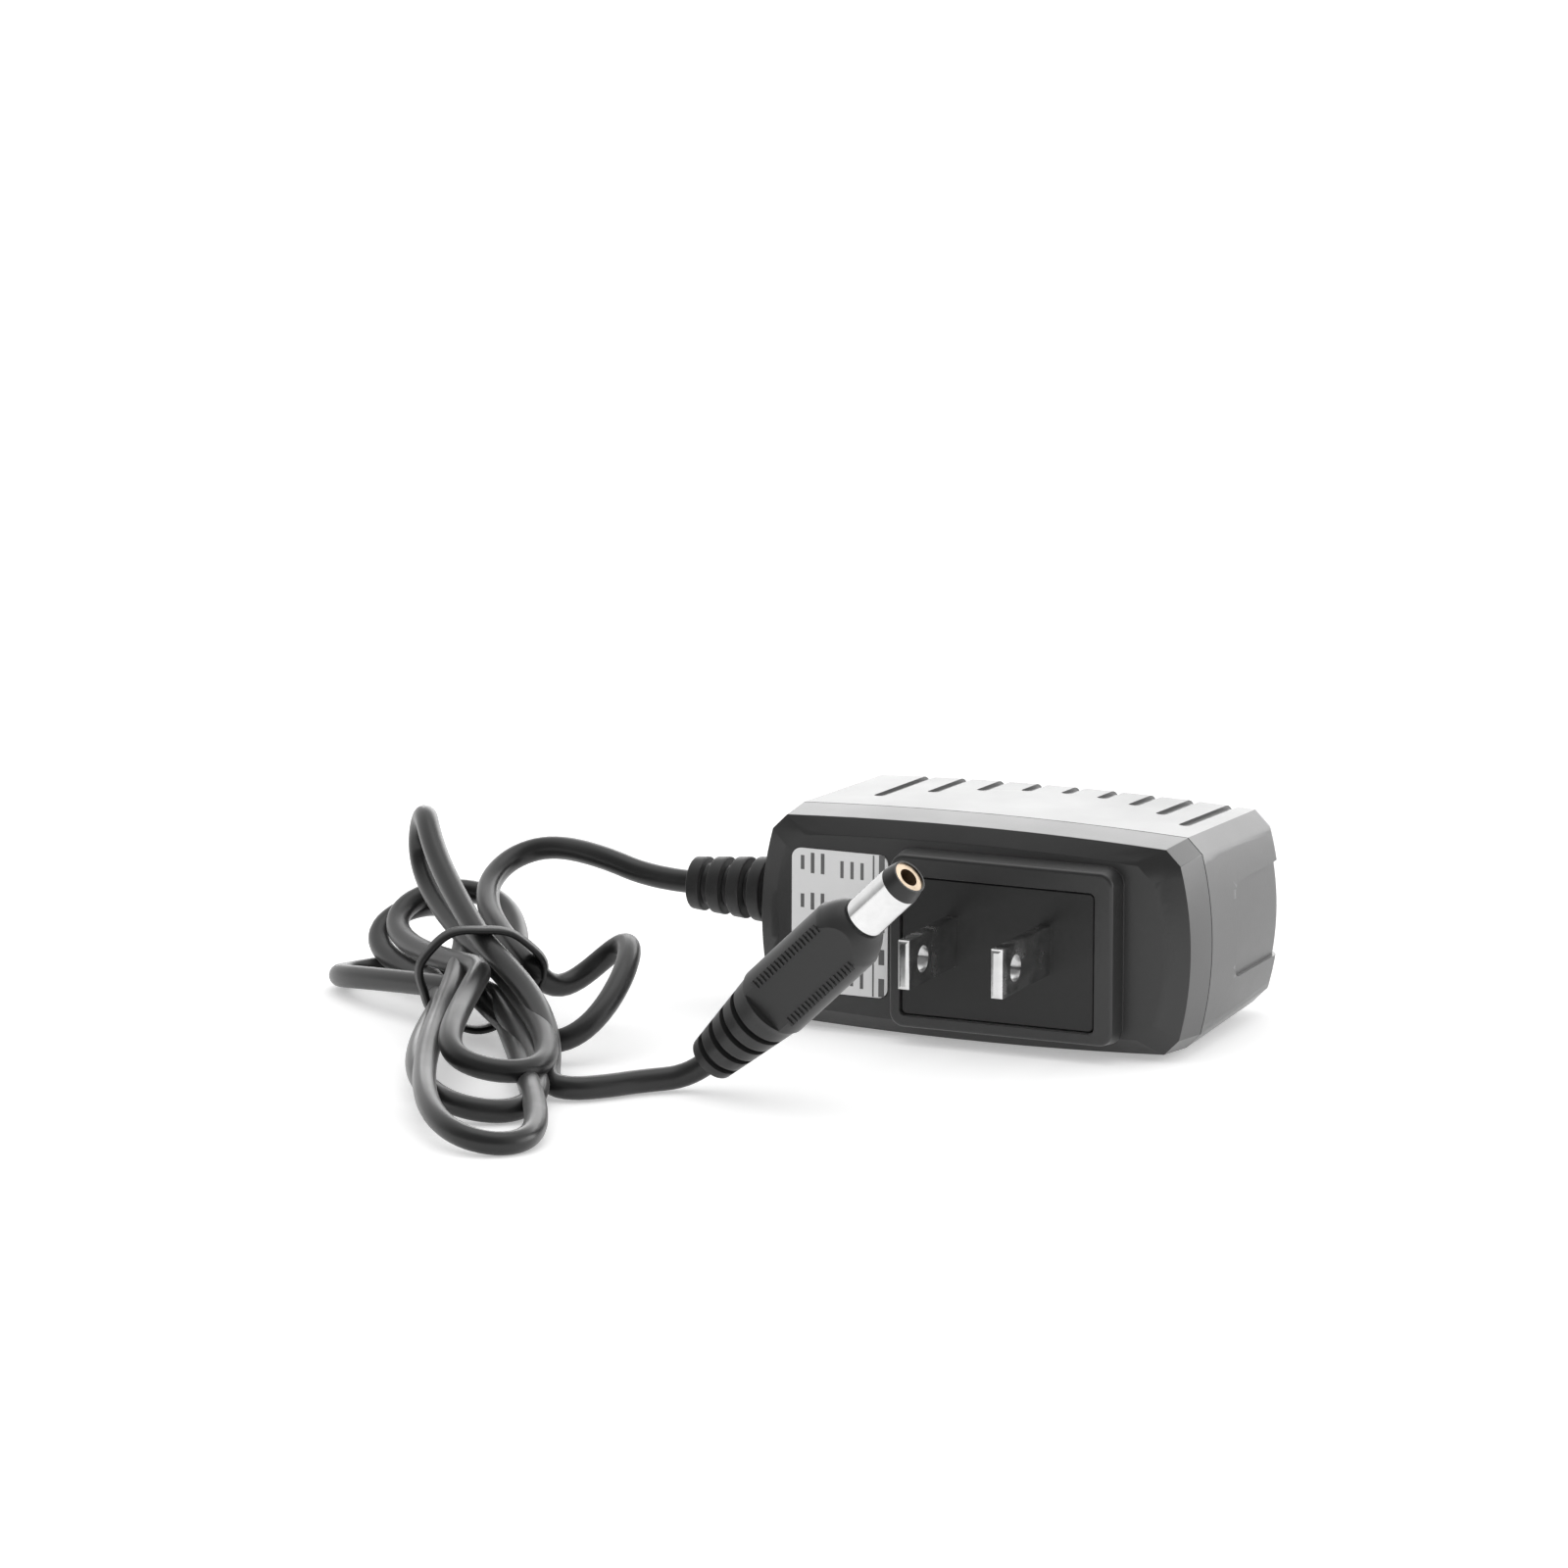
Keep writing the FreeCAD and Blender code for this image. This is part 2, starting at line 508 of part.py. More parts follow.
def blade(label, side):
    """A flat blade with bevelled tip edges and the round hole near its tip."""
    made = body(label)
    x = f"blade_x + {side} * blade_spacing / 2"
    strip = sketch(made, f"{label}_section", "XZ_Plane", TIP)
    rectangle(strip, f"{x} - blade_thickness / 2", "blade_z - blade_height / 2",
              f"{x} + blade_thickness / 2", "blade_z + blade_height / 2")
    bar = pad(made, strip, f"{TIP} + {CARRIER_BACK} + blade_tail", backwards=True)
    end = -number(TIP)
    round_edges(made, f"{label}_tip", bar, "blade_tip_edge",
                lambda edge: abs(edge.BoundBox.YMin - end) < 0.01 and abs(edge.BoundBox.YMax - end) < 0.01)
    hole = sketch(made, f"{label}_hole", "YZ_Plane", f"{x} + blade_thickness")
    circle(hole, "blade_hole", f"-({TIP} - blade_hole_setback)", "blade_z")
    pocket(made, hole, "2 * blade_thickness")
    return in_housing(made)


def blade_contact(label, side):
    """A folded spring strip: two leaves grip the blade's tail and a foot stands on the board."""
    made = body(label)
    x = f"blade_x + {side} * blade_spacing / 2"
    half = "(blade_thickness / 2 + contact_gap)"
    outer = f"({half} + contact_thickness)"
    start, fold = f"{CARRIER_BACK} + fit_gap", f"{CARRIER_BACK} + blade_tail + fit_gap"
    foot = "board_depth"
    drawing = sketch(made, f"{label}_fold", "XY_Plane", "blade_z - contact_height / 2")
    outline(drawing, [
        (f"{x} - {outer}", start, "0"), (f"{x} - {half}", start, "0"), (f"{x} - {half}", fold, "0"),
        (f"{x} + {half}", fold, "0"), (f"{x} + {half}", start, "0"), (f"{x} + {outer}", start, "0"),
        (f"{x} + {outer}", foot, "0"), (f"{x} - {outer}", foot, "0")])
    pad(made, drawing, "contact_height")
    return in_housing(made)


def rating_label():
    made = body("rating_label")
    drawing = sketch(made, "label_outline", "XZ_Plane", "face_rise - label_sink")
    rounded_rectangle(drawing, "label_length", "label_height", "label_corner", LABEL_X, "label_z")
    pad(made, drawing, "label_thickness")
    return in_housing(made)


def circuit_board():
    """The board, with rounded corners."""
    made = body("circuit_board")
    drawing = sketch(made, "board_outline", "XZ_Plane", "-board_depth")
    rounded_rectangle(drawing, BOARD_LENGTH, BOARD_HEIGHT, "board_corner", BOARD_X, "0")
    pad(made, drawing, "board_thickness", backwards=True)
    return in_housing(made)


def round_core(label, long, size, x="core_x"):
    """A block about the core's middle leg."""
    return block_on_board(label, x, f"core_lift - ({size[0]}) / 2", "0", long, size[0], size[1])


def transformer():
    """A core with three legs, the moulded bobbin on its middle leg and the copper wound on it."""
    core = round_core("core_block", "core_length", ("core_depth", "core_height"))
    openings = []
    for level in (-1, 1):
        z = f"{level} * (core_leg / 2 + core_window / 2)"
        openings.append(block_on_board(f"core_window_{level + 1}", "core_x", "core_lift - core_depth", z,
                                       "core_length - 2 * core_yoke", "2 * core_depth", "core_window"))
    legs = less("transformer_core", core, joined("core_windows", openings))
    bore = ("core_depth + 2 * fit_gap", "core_leg + 2 * fit_gap")
    tube = ("core_depth + 2 * (fit_gap + bobbin_wall)", "core_leg + 2 * (fit_gap + bobbin_wall)")
    length = "(core_length - 2 * core_yoke - 2 * fit_gap)"
    barrel = round_core("bobbin_barrel", length, tube)
    flanges = []
    for side in (-1, 1):
        x = f"core_x + {side} * ({length} / 2 - bobbin_flange / 2)"
        flanges.append(block_on_board(f"bobbin_flange_{side + 1}", x, "0", "0", "bobbin_flange",
                                      "core_lift + winding_depth / 2 + bobbin_wall",
                                      "core_leg + 2 * core_window - 2 * fit_gap"))
    solid = joined("bobbin_solid", [barrel] + flanges)
    bobbin = less("transformer_bobbin", solid, round_core("bobbin_bore", "2 * core_length", bore))
    wound = round_core("winding_block", f"{length} - 2 * bobbin_flange",
                       ("winding_depth", "winding_height"))
    winding = less("transformer_winding", wound, round_core("winding_bore", "2 * core_length", tube))
    return [legs, bobbin, winding]


def turned_on_board(label, x, z, corners):
    """A round part that stands on the board, from its profile of (radius, height)."""
    made = body(label)
    outline(sketch(made, f"{label}_profile", "XY_Plane", "0"), corners)
    turned = made.newObject("PartDesign::Revolution", f"{label}_turned")
    turned.Profile = doc.getObject(f"{label}_profile")
    turned.ReferenceAxis = (turned.Profile[0], ["V_Axis"])
    turned.Angle = 360
    return on_board(made, x, "0", z)


def canister(label, x, z, diameter, length):
    """An upright electrolytic capacitor: a can with a rolled waist and a soft top edge."""
    radius, top = closer(f"{diameter} / 2"), closer(length)
    waist_end = "can_waist_start + can_waist_width"
    return turned_on_board(label, x, z, [
        ("0", "0", "0"), (radius, "0", "0"), (radius, "can_waist_start", "0"),
        (f"{radius} - can_waist_depth", "can_waist_start + can_waist_width / 2", "0"),
        (radius, waist_end, "0"), (radius, f"{top} - can_edge", "0"),
        (f"{radius} - can_edge", top, "0"), ("0", top, "0")])


def choke():
    """A drum core with its winding, standing on the board."""
    radius, top = closer("choke_diameter / 2"), closer("choke_length")
    inner = f"({radius} - choke_recess)"
    return turned_on_board("filter_inductor", "choke_x", "choke_z", [
        ("0", "0", "0"), (radius, "0", "0"), (radius, "choke_flange", "0"), (inner, "choke_flange", "0"),
        (inner, f"{top} - choke_flange", "0"), (radius, f"{top} - choke_flange", "0"),
        (radius, top, "0"), ("0", top, "0")])


def safety_capacitor():
    """A flat disc that stands on its edge on two legs."""
    disc = cylinder("disc_body", closer("disc_diameter"), closer("disc_thickness"))
    on_board(disc, "disc_x - disc_thickness / 2", "disc_diameter / 2 + leg_length", "disc_z",
             ("0", "90", "0"))
    legs = []
    for level in (-1, 1):
        z = f"disc_z + {level} * disc_leg_spacing / 2"
        legs.append(post_on_board(f"disc_leg_{level + 1}", "disc_x", z, "leg_diameter", "disc_diameter / 2"))
    return joined("safety_capacitor", [disc] + legs)


def output_diode():
    """A rod that lies across the board on two legs."""
    rod = cylinder("diode_body", closer("diode_diameter"), closer("diode_length"))
    on_board(rod, "diode_x", "diode_diameter / 2 + leg_length", "-diode_length / 2")
    legs = []
    for level in (-1, 1):
        z = f"{level} * (diode_length / 2 - diode_leg_inset)"
        legs.append(post_on_board(f"diode_leg_{level + 1}", "diode_x", z, "leg_diameter",
                                  "diode_diameter / 2 + leg_length"))
    return joined("output_diode", [rod] + legs)


def board_parts():
    """Everything else that is soldered to the board."""
    cans = [canister(f"output_can_{level + 1}", "output_x", f"{level} * output_z", "output_diameter",
                     "output_length") for level in (-1, 1)]
    blocks = []
    for label, key in (("bridge_rectifier", "bridge"), ("optocoupler", "opto")):
        blocks.append(block_on_board(label, f"{key}_x", "0", f"{key}_z", f"{key}_length", f"{key}_depth",
                                     f"{key}_height"))
    chip = block_in_housing("controller_chip", f"{BOARD_X} + {closer('chip_x')}",
                            f"board_depth - {closer('chip_depth')}", closer("chip_z"),
                            closer("chip_length"), closer("chip_depth"), closer("chip_height"))
    return [canister("bulk_capacitor", "bulk_x", "bulk_z", "bulk_diameter", "bulk_length"),
            group_of("output_capacitors", cans), choke(),
            post_on_board("input_fuse", "fuse_x", "fuse_z", "fuse_diameter", "fuse_length"),
            *blocks, chip, safety_capacitor(), output_diode()]


def strain_relief():
    """The tapered rubber relief: four ribs on a slim core, a neck in the wall and a collar inside."""
    made = body("strain_relief")
    drawing = sketch(made, "relief_profile", "XZ_Plane", "0")
    root = "relief_neck / 2"
    pitch = f"(relief_length / {RELIEF_RIBS})"
    corners = [("-wall - relief_collar_gap - relief_collar_length", "0", "0"),
               ("relief_length", "0", "0")]
    drop = "((relief_root - relief_tip) / 2 / relief_length)"
    for index in reversed(range(RELIEF_RIBS)):
        start = f"({pitch} * {index} + relief_slot)"
        end = f"({pitch} * {index + 1})"
        corners.append((end, f"relief_root / 2 - {drop} * {end}", "0"))
        corners.append((start, f"relief_root / 2 - {drop} * {start}", "0"))
        corners.append((start, "relief_core / 2", "0"))
        if index:
            corners.append((f"({pitch} * {index})", "relief_core / 2", "0"))
    corners.append(("relief_shoulder", "relief_core / 2", "0"))
    corners.append(("relief_shoulder", root, "0"))
    corners.append(("-wall - relief_collar_gap", root, "0"))
    corners.append(("-wall - relief_collar_gap", "relief_collar / 2", "0"))
    corners.append(("-wall - relief_collar_gap - relief_collar_length", "relief_collar / 2", "0"))
    outline(drawing, corners)
    turned = made.newObject("PartDesign::Revolution", "relief_turned")
    turned.Profile = drawing
    turned.ReferenceAxis = (drawing, ["H_Axis"])
    turned.Angle = 360
    return in_housing(made, f"-{SEAM_HALF_LENGTH}", "rim_depth", "relief_z", ("180", "0", "0"))


def output_wires():
    """The two cores of the cord, from the relief's inner end to the board."""
    wires = []
    start_x = f"-({SEAM_HALF_LENGTH} - wall - relief_collar_gap - relief_collar_length)"
    for level in (-1, 1):
        z = f"relief_z + {level} * core_wire_spacing / 2"
        length = f"({BOARD_LEFT} - ({start_x}))"
        wire = cylinder(f"core_wire_{level + 1}", "core_wire", length)
        wires.append(in_housing(wire, start_x, "board_depth + board_thickness / 2", z, ("0", "90", "0")))
    return group_of("output_wires", wires)


def plug_point(along):
    """Formulas for a point on the plug's axis, which runs from the cord's end up to the tip."""
    rise, turn = "(plug_rise * 1 deg)", "(plug_turn * 1 deg)"
    return (f"plug_x + ({along}) * cos({rise}) * cos({turn})",
            f"plug_y + ({along}) * cos({rise}) * sin({turn})",
            f"plug_z + ({along}) * sin({rise})")


def on_plug(piece):
    """Puts a piece, made along X from the cord's end, on the plug's axis."""
    return place(piece, *plug_point("0"), ("plug_turn", "-plug_rise", "plug_roll"))


PLUG_BODY = "(plug_tail_length + plug_shoulder + plug_grip_length + plug_front_length)"
PLUG_SEAT = f"({PLUG_BODY} - barrel_seat)"
PLUG_EDGE = f"({PLUG_BODY} + barrel_length)"


def turned_on_plug(label, corners):
    """A body turned about the plug's axis, from its profile of (place along it, radius)."""
    made = body(label)
    outline(sketch(made, f"{label}_profile", "XZ_Plane", "0"), corners)
    turned = made.newObject("PartDesign::Revolution", f"{label}_turned")
    turned.Profile = doc.getObject(f"{label}_profile")
    turned.ReferenceAxis = (turned.Profile[0], ["H_Axis"])
    turned.Angle = 360
    return made


def rod_on_plug(label, start, diameter, length):
    """A cylinder along X whose near end is at a place along the plug."""
    return place(cylinder(label, diameter, length), start, "0", "0", ("0", "90", "0"))


def slot_cutters():
    """Rings out of the plug's tail, each broken by a web on two sides."""
    rings = []
    for index in range(PLUG_SLOTS):
        start = f"plug_slot_start + plug_slot_pitch * {index}"
        rings.append(rod_on_plug(f"slot_ring_{index}", start, "2 * plug_tail_diameter", "plug_slot"))
    core = rod_on_plug("slot_core", "0", "plug_slot_core", "plug_tail_length")
    web = box("slot_web", "plug_tail_length", "plug_web", "2 * plug_tail_diameter")
    place(web, "0", "-plug_web / 2", "-plug_tail_diameter")
    return less("slot_cutters", joined("slot_rings", rings), joined("slot_middle", [core, web]))


def plug_grip():
    """The moulded grip: slotted tail, round handle and drawn-in nose, with two flats along it."""
    handle = "(plug_tail_length + plug_shoulder)"
    nose = f"({handle} + plug_grip_length)"
    radius = "plug_grip_diameter / 2"
    made = turned_on_plug("plug_moulding", [
        ("0", "0", "0"), (PLUG_BODY, "0", "0"),
        (PLUG_BODY, "plug_front_diameter / 2 - plug_grip_edge", "0"),
        (f"{PLUG_BODY} - plug_grip_edge", "plug_front_diameter / 2", "plug_grip_edge / 4"),
        (nose, f"{radius} - plug_grip_edge / 2", "0"), (f"{nose} - plug_grip_edge", radius, "0"),
        (f"{handle} + plug_grip_edge", radius, "0"), (handle, f"{radius} - plug_grip_edge / 2", "0"),
        ("plug_tail_length", "plug_tail_diameter / 2", "0"), ("0", "plug_tail_end / 2", "0")])
    for side in (-1, 1):
        flat = sketch(made, f"plug_flat_{side + 1}", "XZ_Plane", f"{side} * ({radius} - plug_flat)")
        rectangle(flat, f"{handle} + plug_grip_edge", "-plug_grip_diameter", PLUG_EDGE, "plug_grip_diameter")
        pocket(made, flat, "plug_grip_diameter", backwards=side > 0)
    slotted = less("plug_slotted", made, slot_cutters())
    seat = rod_on_plug("plug_seat", PLUG_SEAT, "barrel_diameter - 2 * barrel_step", "2 * barrel_seat")
    return on_plug(less("plug_grip", slotted, seat))


def plug_metal():
    """The barrel, the insulating ring at its tip and the flanged sleeve inside."""
    back = f"({PLUG_EDGE} - barrel_ring)"
    wide, inner = "barrel_diameter / 2", "(barrel_diameter / 2 - barrel_wall)"
    step = f"({PLUG_BODY} + barrel_clear)"
    neck, neck_inner = f"({wide} - barrel_step)", f"({inner} - barrel_step)"
    inner_step = f"({step} + barrel_wall)"
    barrel = turned_on_plug("plug_barrel", [
        (PLUG_SEAT, neck_inner, "0"), (inner_step, neck_inner, "0"), (inner_step, inner, "0"),
        (back, inner, "0"), (back, wide, "0"), (step, wide, "0"), (step, neck, "0"), (PLUG_SEAT, neck, "0")])
    flange = f"({PLUG_EDGE} - sleeve_sink - sleeve_flange_length)"
    sleeve_radius = "(barrel_bore / 2 + sleeve_wall)"
    ring = turned_on_plug("plug_tip", [
        (PLUG_SEAT, sleeve_radius, "0"), (flange, sleeve_radius, "0"), (flange, "sleeve_flange / 2", "0"),
        (PLUG_EDGE, "sleeve_flange / 2", "0"), (PLUG_EDGE, "barrel_ring_end / 2", "0"), (back, wide, "0"),
        (back, inner, "0"), (inner_step, inner, "0"), (inner_step, neck_inner, "0"),
        (PLUG_SEAT, neck_inner, "0")])
    front = f"({PLUG_EDGE} - sleeve_sink)"
    sleeve = turned_on_plug("plug_inner_contact", [
        (PLUG_SEAT, "barrel_bore / 2", "0"), (front, "barrel_bore / 2", "0"),
        (front, "sleeve_flange / 2", "0"), (flange, "sleeve_flange / 2", "0"),
        (flange, sleeve_radius, "0"), (PLUG_SEAT, sleeve_radius, "0")])
    return [on_plug(piece) for piece in (barrel, ring, sleeve)]


# The lead from the relief to the hank, in millimetres, chosen by hand
LEAD_ROUTE = [(-56.0, 0.9, 18.2), (-64.0, 3.2, 18.4), (-68.6, 1.2, 16.9), (-69.4, -4.6, 14.7),
              (-66.4, -11.5, 12.9), (-61.0, -19.0, 11.5)]
# The tail from the hank to the plug, chosen by hand
TAIL_ROUTE = [(-37.5, -59.5, 2.4), (-33.4, -57.4, 1.7), (-30.0, -53.6, 1.6), (-27.6, -49.6, 1.6)]
# The hank's stations: along its axis, across it, half width, height of the middle, half height
HANK_MIDDLE = (-59.5, -30.0)
HANK_AXIS = (0.52, -0.854)
HANK_STATIONS = [(-38, -3, 4, 19, 4), (-31, -3, 11, 15, 8.5), (-24, -1, 17, 10.4, 11.4),
                 (-15, 2, 18.5, 9.2, 10.2), (-5, 1, 9.5, 8.6, 7.0), (0, 0, 7.5, 8, 6), (5, 1, 9.5, 8, 6.6),
                 (13, 3, 14.5, 7.4, 8.4), (24, 2, 15, 7.2, 8.2), (38, -1, 12.5, 5.2, 6.2),
                 (52, -3, 10.5, 3.4, 4.4), (62, -3, 7, 2.4, 3.4), (67, -3, 3, 2.2, 2.0)]
HANK_REACH = 200


def solid_feature(label, shape):
    made = doc.addObject("Part::Feature", label)
    made.Label = label
    made.Shape = shape
    return made


def tube_along(points, diameter, label):
    """A round tube on straight runs joined by arcs, each as large as its two runs allow."""
    spots = [FreeCAD.Vector(*point) for point in points]
    edges = []
    radii = []
    start = spots[0]
    for before, corner, after in zip(spots, spots[1:], spots[2:]):
        run_in, run_out = corner - before, after - corner
        turn = run_in.getAngle(run_out)
        cut = 0.45 * min(run_in.Length, run_out.Length)
        radii.append(cut / math.tan(turn / 2))
        one = corner - run_in.normalize() * cut
        two = corner + run_out.normalize() * cut
        middle = (one + two) * 0.5
        inward = (middle - corner).normalize()
        to_arc = radii[-1] / math.cos(turn / 2) - radii[-1]
        edges.append(Part.LineSegment(start, one).toShape())
        edges.append(Part.Arc(one, corner + inward * to_arc, two).toShape())
        start = two
    edges.append(Part.LineSegment(start, spots[-1]).toShape())
    path = Part.Wire(edges)
    first = (spots[1] - spots[0]).normalize()
    ring = Part.Wire([Part.makeCircle(diameter / 2, spots[0], first)])
    tube = path.makePipeShell([ring], True, True)
    expected = math.pi * diameter ** 2 / 4 * path.Length
    if abs(tube.Volume - expected) > 0.02 * expected:
        raise ValueError(f"{label} has volume {tube.Volume:.0f} where {expected:.0f} is right")
    print(label, "length", round(path.Length, 1), "radii", [round(radius, 1) for radius in radii])
    return tube


def hank_solid():
    """The outer shape of the tied-up cord: two fans of loops that meet at the waist, flat below."""
    along = FreeCAD.Vector(HANK_AXIS[0], HANK_AXIS[1], 0).normalize()
    across = FreeCAD.Vector(-along.y, along.x, 0)
    sections = []
    for reach, aside, half_width, height, half_height in HANK_STATIONS:
        middle = FreeCAD.Vector(*HANK_MIDDLE, 0) + along * reach + across * aside
        middle.z = height
        ring = Part.Ellipse(FreeCAD.Vector(0, 0, 0), half_width, half_height).toShape()
        turn = FreeCAD.Rotation(across, FreeCAD.Vector(0, 0, 1), along, "XYZ")
        ring.Placement = FreeCAD.Placement(middle, turn)
        sections.append(Part.Wire([ring]))
    corner = FreeCAD.Vector(*HANK_MIDDLE, 0) - FreeCAD.Vector(0.5, 0.5, 1) * HANK_REACH
    ground = Part.makeBox(HANK_REACH, HANK_REACH, HANK_REACH, corner)
    return Part.makeLoft(sections, True, True).cut(ground)


def twist_tie():
    """A flat tie wrapped once round the waist of the hank."""
    along = FreeCAD.Vector(HANK_AXIS[0], HANK_AXIS[1], 0).normalize()
    across = FreeCAD.Vector(-along.y, along.x, 0)
    waist = [station for station in HANK_STATIONS if station[0] == 0][0]
    thickness = number("tie_thickness")
    width = number("tie_width")
    turn = FreeCAD.Rotation(across, FreeCAD.Vector(0, 0, 1), along, "XYZ")
    middle = FreeCAD.Vector(*HANK_MIDDLE, 0) - along * (width / 2)
    middle.z = waist[3]
    ring = Part.Ellipse(FreeCAD.Vector(0, 0, 0), waist[2] + thickness, waist[4] + thickness).toShape()
    ring.Placement = FreeCAD.Placement(middle, turn)
    return Part.Face(Part.Wire([ring])).extrude(along * width)


def cords():
    """The lead, the hank, the tail and the tie, each ending on its neighbour."""
    diameter = number("cord_diameter")
    exit_x = -number(f"{SEAM_HALF_LENGTH} + relief_length")
    exit_y = number("rim_depth") - number(MIDDLE_DEPTH)
    exit_z = number(f"relief_z + {SEAM_HALF_HEIGHT}")
    straight_out = (exit_x - number("relief_straight"), exit_y, exit_z)
    plug_end = tuple(number(name) for name in ("plug_x", "plug_y", "plug_z"))
    under_plug = tuple(number(formula) for formula in plug_point("-plug_straight"))
    lead_points = [(exit_x, exit_y, exit_z), straight_out] + LEAD_ROUTE
    tail_points = TAIL_ROUTE + [under_plug, plug_end]
    hank = solid_feature("cord_hank", hank_solid())
    lead = solid_feature("lead_tube", tube_along(lead_points, diameter, "lead"))
    tail = solid_feature("tail_tube", tube_along(tail_points, diameter, "tail"))
    tie = solid_feature("tie_block", twist_tie())
    cut_tie = less("twist_tie", tie, hank)
    cut_lead = less("cord_lead", less("lead_past_hank", lead, hank), tie)
    cut_tail = less("cord_tail", tail, hank)
    return [cut_lead, hank, cut_tail, cut_tie]


nodes = [front_shell(), rear_shell(), blade_carrier(), blade("blade_left", -1), blade("blade_right", 1),
         blade_contact("contact_left", -1), blade_contact("contact_right", 1), rating_label(),
         circuit_board()]
nodes += transformer() + board_parts()
nodes += [output_wires(), strain_relief(), plug_grip()] + plug_metal() + cords()
doc.recompute()

for item in doc.Objects:
    if "Invalid" in item.State or "Error" in item.State:
        raise ValueError(f"{item.Label} did not build: {item.State}")
for node in nodes:
    if node.Shape.isNull() or not node.Shape.isValid() or not node.Shape.Solids:
        raise ValueError(f"{node.Label} has no sound shape")

os.makedirs("parts", exist_ok=True)
for node in nodes:
    node.Shape.exportStep(f"parts/{node.Label}.step")
print(len(nodes), "pieces")
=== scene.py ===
"""Looks of a wall power adapter: moulded housing, blades, label, tied-up cord and barrel plug."""
import math

import bmesh
import bpy
import numpy as np
from mathutils import Matrix, Vector


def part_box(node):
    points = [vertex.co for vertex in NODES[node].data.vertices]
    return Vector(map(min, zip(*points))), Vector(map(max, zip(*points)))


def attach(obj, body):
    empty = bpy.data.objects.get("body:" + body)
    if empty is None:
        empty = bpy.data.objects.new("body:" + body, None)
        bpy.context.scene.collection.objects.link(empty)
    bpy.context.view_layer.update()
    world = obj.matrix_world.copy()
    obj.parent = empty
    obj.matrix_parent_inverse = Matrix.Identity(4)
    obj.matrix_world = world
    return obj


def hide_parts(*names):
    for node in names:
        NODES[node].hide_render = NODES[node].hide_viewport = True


bl_info = {
    "name": "Power Adapter Looks",
    "version": (1, 0, 0),
    "blender": (4, 5, 0),
    "location": "3D Viewport > Sidebar > Adapter",
    "description": "Finishes and soft pieces of a wall power adapter with a tied-up cord",
    "category": "Object",
}

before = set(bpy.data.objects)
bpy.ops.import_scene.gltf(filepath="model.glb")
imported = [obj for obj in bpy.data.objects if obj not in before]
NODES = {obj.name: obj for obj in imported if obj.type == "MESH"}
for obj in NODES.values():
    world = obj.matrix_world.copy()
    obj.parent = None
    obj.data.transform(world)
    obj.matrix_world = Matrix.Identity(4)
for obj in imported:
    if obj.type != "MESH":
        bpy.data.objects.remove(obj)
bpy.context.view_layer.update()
BODY = "root"
MM = 0.001

# How the adapter was photographed: turn and height of the view, and the lens, in its own frame
RIM_POINT = Vector((0.0, -0.006525, 0.0144))
VIEW_TURN = math.radians(23.8)
VIEW_HEIGHT = math.radians(11.8)
VIEW_ROLL = math.radians(0.2)
VIEW_DISTANCE = 1.5
VIEW_ASIDE = 0.024375
VIEW_DOWN = 0.01905
LENS = 270.0
SENSOR = 36.0

# The lead's route from the relief, and the tail's route to the plug, in metres
RELIEF_STRAIGHT = 0.0060
PLUG_STRAIGHT = 0.0042
LEAD_ROUTE = [(-0.0560, 0.0009, 0.0182), (-0.0640, 0.0032, 0.0184), (-0.0686, 0.0012, 0.0169),
              (-0.0694, -0.0046, 0.0147), (-0.0664, -0.0115, 0.0129), (-0.0610, -0.0190, 0.0115)]
TAIL_ROUTE = [(-0.0368, -0.0566, 0.0020), (-0.0334, -0.0574, 0.0017), (-0.0300, -0.0536, 0.0016),
              (-0.0276, -0.0496, 0.0016)]
# The plug: its cord end, how it points, and the flats on its grip
PLUG_END = Vector((-0.0189, -0.0459, 0.0047))
PLUG_TURN = math.radians(-13.1)
PLUG_RISE = math.radians(41.9)
PLUG_ROLL = math.radians(17.0)
PLUG_FLAT = 0.0038
PLUG_FLAT_EDGE = 0.00315
TICKS_PLACE = 0.0215
TICKS_REACH = 0.0125
TICKS_ROWS = 18
TICK_LENGTH = 0.0012
TICK_WIDTH = 0.00035
TICK_HEIGHT = 0.0004

# The tied-up hank: its waist, its axis, and where each strand crosses the waist (aside, height)
WAIST = Vector((-0.0595, -0.0300, 0.0))
ALONG = Vector((0.52, -0.854, 0.0)).normalized()
ACROSS = Vector((-ALONG.y, ALONG.x, 0.0))
CROSSINGS = [(7.4, 9.0), (-0.1, 6.3), (-4.1, 4.7), (2.4, 5.8), (-2.6, 7.3), (3.6, 3.3), (1.1, 9.1),
             (3.9, 8.2), (1.1, 12.6)]
# Each loop of the hank as (along, aside, height) in millimetres: its reach, how far its two strands
# open, and how blunt its end is
LOOPS = [
    ((6.4, 18.2, 8.3), (-9.6, -0.4, 1.0), (3.3, -1.5, -3.6)),
    ((-34.7, -11.7, 1.9), (2.0, -5.6, -0.5), (-1.6, -0.1, 0.3)),
    ((48.8, -4.5, 1.9), (-2.5, -5.7, 1.0), (1.3, 0.2, 0.0)),
    ((-39.3, -5.8, 7.1), (3.2, -4.9, -2.6), (-2.1, 1.7, -0.2)),
    ((67.8, -4.8, 1.9), (1.5, -5.3, -0.3), (3.6, -1.6, 0.4)),
    ((-38.7, -1.2, 10.2), (-1.0, 6.4, 2.8), (-2.1, 1.1, -0.7)),
    ((39.5, -2.0, 4.7), (-2.1, -5.1, 1.0), (2.6, 0.8, 0.0)),
    ((-31.4, -4.6, 22.0), (-4.3, -0.7, -2.1), (-2.8, -1.0, -0.8)),
]
LOOP_POINTS = 18
LAST_STRAND = ((34.5, 5.6, 2.0), (0.0, 3.4, -0.3))
LAST_POINTS = 5

